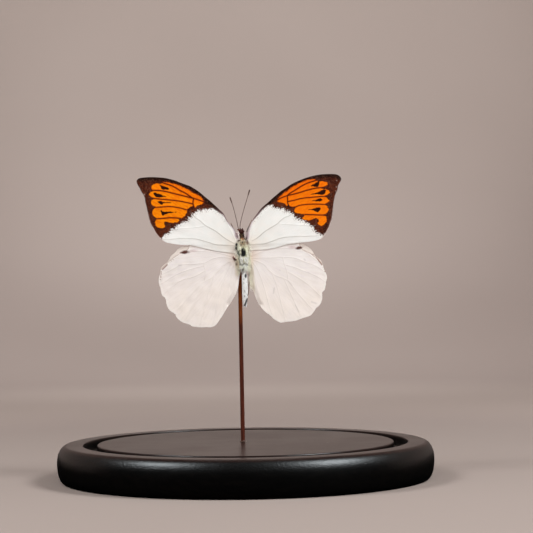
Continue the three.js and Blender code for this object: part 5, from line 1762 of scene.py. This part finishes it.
for k, (name, pts) in enumerate(LEGS.items()):
    r = np.random.default_rng(300 + k)
    path = smooth_curve(pts, 0.10)
    s = np.concatenate([[0], np.cumsum(np.linalg.norm(np.diff(path, axis=0), axis=1))])
    t = s / s[-1]
    femur = 0.36 * np.exp(-((t - 0.16) / 0.20) ** 2)
    rad_ = np.maximum(femur, 0.13 + 0.09 * (1 - t)) + 0.02
    for joint in (0.38, 0.70):
        rad_ -= 0.06 * np.exp(-((t - joint) / 0.012) ** 2)
        rad_ += 0.035 * np.exp(-((t - joint + 0.03) / 0.02) ** 2)
    for joint in (0.77, 0.83, 0.89, 0.94):
        rad_ -= 0.045 * np.exp(-((t - joint) / 0.006) ** 2)
    rad_ = np.maximum(rad_, 0.055)
    rad_[-3:] *= np.array([0.9, 0.7, 0.4])
    pv = [tube(path, rad_, 12)]
    # claws
    tang = unit(path[-1] - path[-6])
    side = unit(np.cross(tang, np.array([0.0, 1.0, 0.0])))
    for q in (-1, 1):
        claw = smooth_curve([path[-2], path[-1] + tang * 0.12 + side * q * 0.14, path[-1] + tang * 0.30 + side * q * 0.12 + np.array([0, 0.10, 0])], 0.05)
        pv.append(tube(claw, np.linspace(0.05, 0.012, len(claw)), 7))
    # spines of the shin and foot
    idx = r.integers(int(len(path) * 0.38), len(path) - 4, 34)
    tt, nn_, bb = frames_along(path)
    a = r.uniform(0, 2 * math.pi, len(idx))
    out_ = nn_[idx] * np.cos(a)[:, None] + bb[idx] * np.sin(a)[:, None]
    v1, f1, _, _ = hairs(path[idx] + out_ * rad_[idx][:, None] * 0.8, out_ * 0.8 + tt[idx] * 0.7, r.uniform(0.22, 0.42, len(idx)), 0.055, np.zeros((len(idx), 3)), r)
    pv.append((v1, f1))
    v, f = join(pv)
    o = new_mesh(name + "_limb", v, f, MAT_LEG, None, True)
    place(o, "leg_chitin", name)
    # scales and hair of thigh and shin
    n_h = 900
    idx = r.integers(2, int(len(path) * 0.74), n_h)
    a = r.uniform(0, 2 * math.pi, n_h)
    out_ = nn_[idx] * np.cos(a)[:, None] + bb[idx] * np.sin(a)[:, None]
    tone = C3(206, 196, 192) if "fore" in name else C3(222, 212, 190)
    v1, f1, hr, pl = hairs(path[idx] + out_ * rad_[idx][:, None] * 0.9, out_ * 0.35 + tt[idx] * 1.0 + r.normal(0, 0.12, (n_h, 3)), r.uniform(0.35, 0.75, n_h) * (1.3 - 0.8 * t[idx]), 0.06, out_ * -0.1, r)
    o = new_mesh(name + "_hair", v1, f1, MAT_HAIR, None, True)
    put_colour(o, "tint", (tone * r.uniform(0.7, 1.05, (n_h, 1)))[hr] * (0.8 + 0.25 * pl)[:, None])
    place(o, "leg_chitin")

# ---------------------------------------------------------------------------------------------
# Rod
# ---------------------------------------------------------------------------------------------
def rod_material():
    g = Graph("rod_finish_and_painted_light", Roughness=0.42, IOR=1.45, Specular_IOR_Level=0.25)
    c = g.coords()
    z = g.split(c)[2]
    long_ = g.noise(g.coords((1, 1, 0.06)), 2600, 3.0, 0.6)
    blot = g.noise(g.coords((1, 1, 0.5)), 420, 3.0, 0.6)
    # painted light and reflection: the rod is painted lighter orange-brown towards the top and darker red-brown lower
    # down
    low = g.mix(g.step(long_, 0.35, 0.68), lin(92, 42, 28), lin(62, 26, 17))
    top = g.mix(g.step(long_, 0.35, 0.68), lin(152, 78, 28), lin(116, 50, 18))
    h = g.math("ADD", z, g.math("MULTIPLY", g.math("SUBTRACT", blot, 0.5), 0.016))
    col = g.mix(g.step(h, 0.066, 0.082), low, top)
    col = g.mix(g.step(blot, 0.55, 0.75, 0.0, 0.35), col, lin(96, 40, 26))
    g.set("Base Color", col)
    g.set("Roughness", g.step(long_, 0.3, 0.7, 0.36, 0.52))
    g.bump(long_, 0.25, 0.00005)
    return g.mat


foot, top = np.array([-1.2, 1.0, BASE_T]), np.array([-1.7, 0.12, 103.6])
axis = (top - foot) / (top[2] - foot[2])
zz = np.concatenate([[8.82], np.arange(9.2, 103.1, 0.45), [103.3, 103.5, 103.58]])
path = foot + axis * (zz - BASE_T)[:, None]
rad_ = 0.935 - 0.035 * sstep(zz, 40, 90) + 0.006 * np.sin(zz * 0.9) + 0.004 * np.sin(zz * 2.3 + 1)
rad_[-3:] = [0.80, 0.62, 0.30]
rad_[0] = 0.8
v, f = tube(path, rad_, 32)
o = new_mesh("stem_rod", v, f, rod_material(), None, True, 50)
place(o, "stem_metal", "stem")

# glue: a bead round the foot, and one where the rod meets the underside of the thorax
def glue_material():
    g = Graph("dried_glue", Roughness=0.22, IOR=1.48, Transmission_Weight=0.0)
    c = g.coords()
    n = g.noise(c, 900, 3.0, 0.6)
    g.set("Base Color", g.mix(g.step(n, 0.4, 0.65), lin(88, 66, 56), lin(58, 40, 33)))
    g.set("Roughness", g.step(n, 0.3, 0.7, 0.16, 0.34))
    g.bump(n, 0.4, 0.0001)
    return g.mat


MAT_GLUE = glue_material()
gv, gf = lathe([(0, 0.0), (1.10, 0.0), (1.42, 0.02), (1.50, 0.08), (1.40, 0.17), (1.18, 0.30), (1.0, 0.46), (0.9, 0.62), (0.86, 0.70), (0, 0.70)], 48)
lump = 1 + 0.10 * np.sin(2 * np.arctan2(gv[:, 1], gv[:, 0]) + 0.6) + 0.06 * np.sin(5 * np.arctan2(gv[:, 1], gv[:, 0]))
out_w = sstep(np.hypot(gv[:, 0], gv[:, 1]), 0.9, 1.3)
gv[:, :2] *= (1 + (lump - 1) * out_w)[:, None]
gv += np.array([foot[0], foot[1], BASE_T + 0.002])
bv, bf = ball((-1.66, -0.62, 101.6), (1.15, 0.75, 2.2), 18, 26)
bv[:, 0] += 0.10 * wave2(bv[:, 1], bv[:, 2], 96, 1.4)
bv[:, 1] += 0.08 * wave2(bv[:, 0], bv[:, 2], 97, 1.4)
v, f = join([(gv, gf), (bv, bf)])
o = new_mesh("glue_beads", v, f, MAT_GLUE, None, True)
place(o)

# ---------------------------------------------------------------------------------------------
# Base
# ---------------------------------------------------------------------------------------------
def arc(cx, cz, r, a0, a1, n):
    return [(cx + r * math.cos(math.radians(a)), cz + r * math.sin(math.radians(a))) for a in np.linspace(a0, a1, n)]


edge_pts = smooth_curve([(82.3, 0.0), (83.4, 0.7), (84.3, 2.4), (84.9, 4.8), (85.2, 7.9), (85.1, 10.3), (84.72, 12.3), (83.95, 14.1), (82.95, 15.45), (81.7, 16.25), (80.6, 16.5)], 0.35)
profile = [(0, 0.0), (40.0, 0.0), (80.0, 0.0)] + [tuple(p) for p in edge_pts] + [(79.9, 16.5), (78.6, 16.5), (76.0, 16.5)]
profile += arc(73.5 + 0.45, 16.5 - 0.45, 0.45, 90, 180, 6) + [(73.5, 14.0), (73.5, 11.9)]
profile += [(73.2, 11.56), (72.8, 11.5), (70.2, 11.5), (67.6, 11.5), (67.2, 11.56), (67.0, 11.9), (67.0, 14.0)]
profile += arc(67.0 - 0.55, 16.5 - 0.55, 0.55, 0, 90, 7) + [(65.5, 16.5), (60.0, 16.5), (50.0, 16.5), (38.0, 16.5), (24.0, 16.5), (12.0, 16.5), (4.0, 16.5), (0, 16.5)]
bv, bf = lathe(profile, 288)


def base_material():
    g = Graph("base_lacquer", Roughness=0.3, IOR=1.5)
    c = g.coords()
    s = g.split(c)
    rr_ = g.math("SQRT", g.math("ADD", g.math("MULTIPLY", s[0], s[0]), g.math("MULTIPLY", s[1], s[1])))
    turned = g.noise(g.xyz(rr_, g.math("MULTIPLY", s[2], 1.0)), 2200, 2.0, 0.5)
    grain = g.noise(g.coords((0.12, 1.0, 1.0)), 520, 4.0, 0.6, 0.4)
    cloud = g.noise(c, 34, 3.0, 0.5)
    orange_peel = g.noise(c, 620, 2.0, 0.5)
    col = g.mix(g.step(grain, 0.35, 0.68), lin(5, 4, 4), lin(10, 7, 6))
    col = g.mix(g.step(cloud, 0.40, 0.65, 0.0, 0.5), col, lin(5, 4, 3))
    fleck = g.step(g.noise(c, 2600, 1.0, 0.5), 0.735, 0.775)
    topside = g.step(s[2], 0.0150, 0.0162)
    # painted light: the upward faces are painted a lighter warm brown than the near-black sides, standing in for the
    # light and warm reflection the top shows
    col = g.mix(g.math("MULTIPLY", topside, 0.8), col, g.mix(g.step(grain, 0.35, 0.68), lin(30, 15, 12), lin(40, 22, 17)))
    col = g.mix(g.math("MULTIPLY", g.math("MULTIPLY", fleck, topside), 0.55), col, lin(150, 138, 130))
    g.set("Base Color", col)
    rough = g.step(cloud, 0.3, 0.7, 0.26, 0.30)
    shoulder = g.math("MULTIPLY", g.step(rr_, 0.0800, 0.0818), g.step(s[2], 0.0085, 0.0130))
    rough = g.math("ADD", rough, g.math("MULTIPLY", shoulder, 0.035))
    g.set("Roughness", g.math("ADD", rough, g.math("MULTIPLY", grain, 0.05)))
    grit = g.math("MULTIPLY", g.noise(c, 1200, 2.0, 0.6), g.math("ADD", g.math("MULTIPLY", shoulder, 2.0), 0.6))
    h = g.math("ADD", g.math("MULTIPLY", turned, 0.35), g.math("ADD", g.math("MULTIPLY", orange_peel, 0.5), g.math("MULTIPLY", grain, 0.5)))
    h = g.math("ADD", h, g.math("MULTIPLY", grit, 1.5))
    g.bump(h, 0.42, 0.00007)
    return g.mat


o = new_mesh("base_turned", bv, bf, base_material(), None, True, 40)
place(o, "base_wood", "base")

# dust and lint lying on the disc
def dust_material():
    g = Graph("dust", Roughness=0.9, IOR=1.4)
    c = g.coords()
    g.set("Base Color", g.mix(g.step(g.noise(c, 1500, 2.0, 0.5), 0.4, 0.6), lin(196, 184, 174), lin(150, 138, 130)))
    return g.mat


r = np.random.default_rng(401)
bits = []
spots = [(-5.3, 36.6, 0.30), (-7.6, 3.4, 0.20), (0.45, 2.2, 0.42), (0.0, -1.2, 0.22)]
for _ in range(46):
    a, q = r.uniform(0, 2 * math.pi), 64 * math.sqrt(r.uniform(0, 1))
    spots.append((q * math.cos(a), q * math.sin(a), r.uniform(0.05, 0.13)))
for _ in range(16):
    a, q = r.uniform(0, 2 * math.pi), r.uniform(75, 81)
    spots.append((q * math.cos(a), q * math.sin(a), r.uniform(0.05, 0.11)))
for x, y, q in spots:
    v, f = ball((0, 0, 0), (q, q * r.uniform(0.5, 0.9), q * 0.35), 6, 9)
    v[:, :2] += r.normal(0, q * 0.12, (len(v), 2))
    a = r.uniform(0, math.pi)
    v[:, :2] = v[:, :2] @ np.array([[math.cos(a), -math.sin(a)], [math.sin(a), math.cos(a)]])
    bits.append((v + np.array([x, y, BASE_T + q * 0.30]), f))
for _ in range(5):  # lint
    a, q, b = r.uniform(0, 2 * math.pi), 60 * math.sqrt(r.uniform(0, 1)), r.uniform(0, 2 * math.pi)
    c0 = np.array([q * math.cos(a), q * math.sin(a), BASE_T + 0.05])
    pth = smooth_curve([c0, c0 + np.array([math.cos(b), math.sin(b), 0.05]) * 0.7, c0 + np.array([math.cos(b + 0.7), math.sin(b + 0.7), 0.02]) * 1.5], 0.2)
    bits.append(tube(pth, 0.022, 5))
v, f = join(bits)
o = new_mesh("dust_flecks", v, f, dust_material(), None, True)
place(o)

# ---------------------------------------------------------------------------------------------
# Stage: a pale floor that sweeps up all round, and soft studio light
# ---------------------------------------------------------------------------------------------
def stage_material():
    g = Graph("studio_paper", Roughness=0.95, IOR=1.2)
    c = g.coords()
    n = g.noise(c, 3.0, 2.0, 0.5)
    q = g.split(c)
    r_ = g.math("SQRT", g.math("ADD", g.math("MULTIPLY", q[0], q[0]), g.math("MULTIPLY", q[1], q[1])))
    # painted light: the paper is painted lighter from the floor out to the wall, and lighter in a ring from 0.3 to 0.78
    # m, evening out where the lamps leave it darker
    wall = g.mix(g.step(n, 0.3, 0.7), lin(174, 156, 147), lin(177, 159, 150))
    middle = g.mix(g.step(n, 0.3, 0.7), lin(163, 145, 137), lin(166, 148, 140))
    floor = g.mix(g.step(n, 0.3, 0.7), lin(156, 140, 132), lin(159, 143, 135))
    low = g.mix(g.step(r_, 0.18, 0.50), floor, middle)
    low = g.mix(g.math("MULTIPLY", g.step(r_, 0.30, 0.48), g.step(r_, 0.78, 0.58)), low, lin(172, 154, 145))
    g.set("Base Color", g.mix(g.step(r_, 1.1, 1.6), low, wall))
    return g.mat


R0, R1, WALL = 800.0, 1600.0, 2200.0
pr = [(0, 0.0), (100, 0.0), (300, 0.0), (600, 0.0)] + [(R0 + (R1 - R0) * math.sin(a), (R1 - R0) * (1 - math.cos(a))) for a in np.linspace(0, math.pi / 2, 30)] + [(R1, WALL)]
seg = 128
a = np.arange(seg) / seg * 2 * math.pi
mid = np.array(pr[1:])
sv = np.stack([mid[:, :1] * np.cos(a)[None], mid[:, :1] * np.sin(a)[None], np.repeat(mid[:, 1:], seg, 1)], 2).reshape(-1, 3)
sv = np.vstack([sv, [[0, 0, 0]]])
i = np.arange(len(mid) - 1)[:, None] * seg
j = np.arange(seg)[None]
k = (j + 1) % seg
q = np.stack([i + j, i + k, i + seg + k, i + seg + j], 2).reshape(-1, 4)
# faces look up and inwards
sf = np.vstack([q[:, [0, 2, 1]], q[:, [0, 3, 2]], np.stack([np.full(seg, len(sv) - 1), np.arange(seg), (np.arange(seg) + 1) % seg], 1)])
sv[:, 2] -= 0.02
paper = stage_material()
corner = sv[sf]
flat = np.hypot(corner[..., 0], corner[..., 1]).max(1) < 801.0
rear = corner[..., 1].mean(1) > 150.0
for name, pick in (("studio_floor", flat), ("studio_front", ~flat & ~rear), ("studio_back", ~flat & rear)):
    used, back = np.unique(sf[pick], return_inverse=True)
    sheet = new_mesh(name, sv[used], back.reshape(-1, sf.shape[1]), paper, None, True)
    sheet.visible_glossy = name == "studio_back"  # the black lacquer mirrors only the backdrop


def area(name, at, look, size, power, colour, glossy=True):
    d = bpy.data.lights.new(name, "AREA")
    d.shape = "RECTANGLE"
    d.size, d.size_y = size
    d.energy = power
    d.color = colour
    o = bpy.data.objects.new(name, d)
    o.location = at
    o.rotation_mode = "QUATERNION"
    o.rotation_quaternion = (Vector(look) - Vector(at)).to_track_quat("-Z", "Y")
    o.visible_camera = False
    o.visible_glossy = glossy
    bpy.context.scene.collection.objects.link(o)
    return o


aim = (0, 0, 0.08)
COOL = (0.90, 0.965, 1.0)
area("softbox_left", (-0.80, -0.36, 0.92), aim, (0.40, 0.40), 9.5, COOL)
area("softbox_right", (0.80, -0.36, 0.92), aim, (0.40, 0.40), 14.5, COOL)
area("front_fill", (0.0, -1.25, 0.95), (0, 0, 0.10), (1.1, 0.8), 7.5, COOL, False)
area("back_fill", (0.0, 1.15, 1.25), (0, 0, 0.10), (1.0, 0.8), 1.2, COOL, False)
for name, look, power in (("backdrop_glow_low", (-0.03, 0.95, 0.02), 32.5), ("backdrop_glow_high", (0.0, 1.5, 0.27), 40.0)):
    glow = bpy.data.lights.new(name, "SPOT")
    glow.energy, glow.color, glow.shadow_soft_size = power, (0.87, 0.96, 1.0), 0.08
    glow.spot_size, glow.spot_blend = math.radians(44), 1.0
    glow_o = bpy.data.objects.new(name, glow)
    glow_o.location = (0.0, 0.25, 1.15)
    glow_o.rotation_mode = "QUATERNION"
    glow_o.rotation_quaternion = (Vector(look) - Vector(glow_o.location)).to_track_quat("-Z", "Y")
    glow_o.visible_glossy = False
    bpy.context.scene.collection.objects.link(glow_o)
world = bpy.data.worlds.new("studio")
world.use_nodes = True
bg = world.node_tree.nodes["Background"]
bg.inputs[0].default_value = lin(186, 172, 164)
bg.inputs[1].default_value = 0.18
bpy.context.scene.world = world
world.cycles_visibility.glossy = False  # nothing bright in front of the black lacquer
bpy.context.scene.view_settings.view_transform = "Standard"
bpy.context.scene.view_settings.look = "None"
